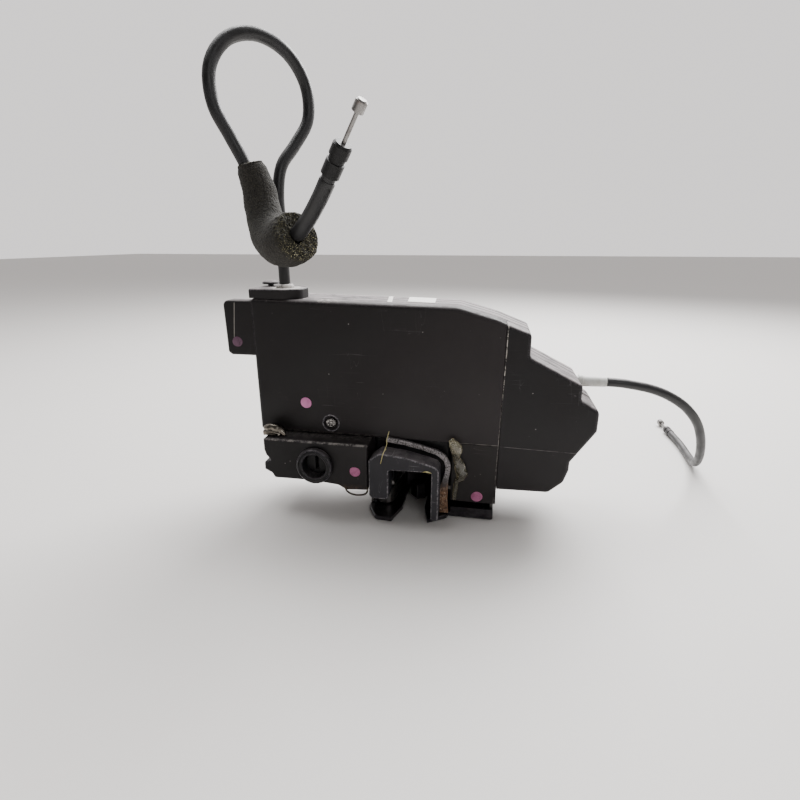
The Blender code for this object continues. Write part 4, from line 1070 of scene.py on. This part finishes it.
# marking paint: name, (x, z), front face, radius, material, seed
paintDots = [("magentaDotCover", (-56.3, 63.4), 0.0, 3.2, "magenta", 3),
             ("magentaDotCarrier", (-25.5, 28.8), -12.0, 3.0, "deepMagenta", 5),
             ("magentaDotLower", (41.5, 13.6), 0.0, 3.2, "deepMagenta", 7),
             ("purpleDotEar", (-94.3, 97.0), 0.05, 3.0, "purple", 9)]


def paintDot(name, spot, front, radius, material, seed):
    # domed disc with an uneven rim: rings shrink to the middle and rise by a few hundredths of a millimetre
    angle = np.linspace(0, 2 * math.pi, 48, endpoint=False)
    around = np.stack([np.cos(angle), np.sin(angle), angle * 0 + seed], 1)
    rim = radius * (1 + 0.07 * latticeNoise(around, 1.4, seed))
    share = np.array([1.0, 1.0, 0.97, 0.85, 0.5, 0.12])
    lift = np.array([0.05, -0.06, -0.14, -0.2, -0.22, -0.22])
    a = spot[0] + share[:, None] * rim * np.cos(angle)
    b = spot[1] + share[:, None] * rim * np.sin(angle) * 0.94
    grid = np.stack([a, np.broadcast_to(front + lift[:, None], a.shape), b], axis=-1)
    return makePiece(name, [gridPart(grid)], material, sharp=60)


for dot in paintDots:
    paintDot(*dot)

blankLabel = {"outline": [(-0.8, 14.1, 0.5), (14.2, 13.4, 0.5), (12.6, 34.6, 0.5), (-3.2, 34.9, 0.5)],
              "thick": 0.28}
paintStripe = {"outline": [(-11.2, 10.2, 0.8), (-8.6, 10.6, 0.8), (-12.6, 35.2, 0.8), (-15.2, 35.0, 0.8)],
               "thick": 0.16}
housingTop = {"left": -85.0, "height": 121.0, "slope": 2.4 / 112.2}


def topSheet(name, facts, material, replaces=()):
    # a thin sheet laid on the housing's sloping top
    thick = facts["thick"]
    rows = [(0.25, 0.02), (0.05, thick * 0.5, 1), (0.25, thick), (1.0, thick)]
    part = shellPart(facts["outline"], rows, "Z")
    along = part["points"][:, 0] - housingTop["left"]
    part["points"][:, 2] += housingTop["height"] - along * housingTop["slope"]
    return makePiece(name, [part], material, replaces)


topSheet("blankLabel", blankLabel, "paper", ("label",))
topSheet("paintStripe", paintStripe, "paint")


def drip(facts, seed):
    # one lump drawn along a route: its radius swells and thins, its depth is flattened and noise moves its skin
    path = smoothRoute(facts["route"], 0.35)
    share = np.linspace(0, 1, len(path))
    radius = np.interp(share, np.linspace(0, 1, len(facts["radii"])), facts["radii"])
    radius = np.convolve(np.pad(radius, 6, mode="edge"), np.ones(13) / 13, "valid")
    radius = radius * np.sqrt(np.clip(1 - (2 * share - 1) ** 12, 0.01, 1))
    part = tubePart(path, radius, 40)
    grid = part["points"].reshape(len(path), 40, 3)
    lumps = 1 + 0.22 * latticeNoise(grid, 0.35, seed) + 0.06 * latticeNoise(grid, 0.9, seed + 1)
    out = (grid - path[:, None]) * lumps[..., None] * (1, facts["flat"], 1)
    part["points"] = (path[:, None] + out).reshape(-1, 3)
    return part


grease = [{"route": [(26.6, -2.6, 48.8), (28.0, -3.0, 45.4), (29.4, -2.6, 41.0), (29.6, -1.8, 36.0)],
           "radii": [1.4, 3.1, 3.3, 2.4, 1.6], "flat": 0.8},
          {"route": [(28.8, -1.5, 38.5), (31.4, -1.6, 33.0), (32.6, -1.7, 27.5), (30.6, -1.4, 22.8)],
           "radii": [1.4, 2.7, 3.1, 3.0, 1.5], "flat": 0.6},
          {"route": [(30.4, -1.1, 24.5), (29.4, -1.1, 17.5), (29.2, -1.0, 10.6)],
           "radii": [1.3, 1.5, 1.3, 1.1], "flat": 0.6}]
makePiece("greaseLump", [drip(facts, seed) for facts, seed in zip(grease, (31, 37, 41))], "grease", sharp=80)

lug = {
    "outline": [(-80, 45.15, 0.8), (-80.4, 48.4, 1.5), (-72, 49.0, 2), (-69.6, 46.8, 1), (-69.6, 45.15, 0.4)],
    "depth": (-8.5, -0.3), "round": 1.0,
    "crust": {"route": [(-79.6, -6.4, 48.6), (-76.4, -7.4, 50.0), (-72.6, -7.4, 49.6), (-69.0, -7.2, 47.8),
                        (-66.6, -8.0, 45.8)], "radii": [1.2, 2.6, 2.4, 2.0, 0.8], "flat": 0.9},
}
lugPart = shellPart(lug["outline"], solidProfile(*lug["depth"], lug["round"]), "Y", 8)
makePiece("cornerLug", [lugPart, drip(lug["crust"], 53)], "lug", ("corner_lug",))

ferrule = [(1.4, 86.5), (3.0, 86.5), (3.0, 92.9, 0.2), (3.5, 93.1, 1), (3.5, 95.1, 0.6), (3.05, 95.4),
           (2.95, 97), (2.72, 107.2), (2.6, 107.9, 1), (1.4, 108.0)]
makePiece("releaseFerrule", [turnedPart(ferrule, rear["cableHole"], "X")], "white", ("release_ferrule",))

straw = {"stem": [(-5.5, -14.4, 55.3), (-6.7, -14.6, 50.2), (-6.8, -14.75, 47.6), (-8.9, -14.8, 42.0),
                  (-9.6, -14.6, 39.4), (-10.3, -14.5, 36.4)], "stemRadius": (0.12, 0.26),
         "twig": [(-8.7, -14.8, 42.6), (-7.9, -14.9, 44.4), (-7.0, -15.0, 45.2)], "twigRadius": (0.2, 0.1)}
leaf = {"route": [(12.6, -14.4, 33.2), (14.6, -14.5, 33.7), (17.4, -14.4, 33.0)], "radii": (0.08, 0.42, 0.1)}
rustyWire = {"route": [(-33.2, -8.0, 18.6), (-31.2, -9.0, 14.8), (-27.0, -9.6, 13.4), (-22.4, -9.5, 13.6),
                       (-19.8, -9.0, 15.0), (-19.2, -8.6, 18.2)], "radius": 0.55}


def fibre(points, spacing, radii, count):
    # a thin tube whose radius runs through the given radii
    route = smoothRoute(points, spacing)
    share = np.linspace(0, 1, len(route))
    return tubePart(route, np.interp(share, np.linspace(0, 1, len(radii)), radii), count)


makePiece("strawFibre", [fibre(straw["stem"], 0.7, straw["stemRadius"], 8),
                         fibre(straw["twig"], 0.5, straw["twigRadius"], 8)], "straw")
makePiece("leafFleck", [fibre(leaf["route"], 0.4, leaf["radii"], 10)], "straw", sharp=60)
makePiece("rustyWire", [fibre(rustyWire["route"], 0.6, [rustyWire["radius"]] * 2, 14)], "lug")
print("finishing pieces built")

# finishes of the CAD nodes that stay
keptFinish = {"claw": "darkSteel", "mounting_plate": "darkSteel", "key_cam": "dark", "motor_worm": "brass",
              "worm_wheel": "white", "switch_button": "white", "striker_buffer": "rubber", "leadframe": "board",
              "connector_housing": "boss", "terminal_block": "dark", "lock_switch": "dark"}
for name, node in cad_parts.items():
    if node.hide_render:
        continue
    node.data.materials.clear()
    node.data.materials.append(finishes[keptFinish.get(name, "steel")])

# floor and light
floorMade, _, floorShader = newMaterial("paleFloor")
floorShader.inputs["Base Color"].default_value = rgb("d9d6d3")
floorShader.inputs["Roughness"].default_value = 0.6
floorMesh = bpy.data.meshes.new("paleFloor")
floorDrop = 0.0003
floorCorners = [(-4, -3, -floorDrop), (4, -3, -floorDrop), (4, 5, -floorDrop), (-4, 5, -floorDrop)]
floorMesh.from_pydata(floorCorners, [], [(0, 1, 2, 3)])
floorMesh.materials.append(floorMade)
floor = bpy.data.objects.new("paleFloor", floorMesh)
bpy.context.scene.collection.objects.link(floor)
world = bpy.data.worlds.new("studio")
bpy.context.scene.world = world
world.use_nodes = True
sky = world.node_tree
skySide = addNode(sky, "ShaderNodeTexCoord").outputs["Generated"]
facing = addNode(sky, "ShaderNodeSeparateXYZ", {0: skySide})
glow = addNode(sky, "ShaderNodeMapRange", {0: facing.outputs[1], 1: -0.5, 2: 0.7, 3: 0.16, 4: 1.25},
               interpolation_type="SMOOTHSTEP").outputs[0]
sky.nodes["Background"].inputs[0].default_value = (1.0, 0.965, 0.955, 1.0)
sky.links.new(glow, sky.nodes["Background"].inputs[1])


def softLight(name, spot, target, size, power, tone=(1, 1, 1)):
    lamp = bpy.data.lights.new(name, "AREA")
    lamp.size = size
    lamp.energy = power
    lamp.color = tone
    holder = bpy.data.objects.new(name, lamp)
    holder.location = spot
    holder.rotation_euler = (Vector(target) - Vector(spot)).to_track_quat("-Z", "Y").to_euler()
    bpy.context.scene.collection.objects.link(holder)


softLight("backLight", (0.2, 0.6, 0.75), (0, 0, 0.08), 0.7, 24)
softLight("topLight", (-0.3, 0.15, 0.9), (0, 0, 0.1), 0.5, 6)
softLight("frontFill", (0.55, -0.85, 0.6), (0, 0, 0.06), 0.5, 2.0)
print("stage set")
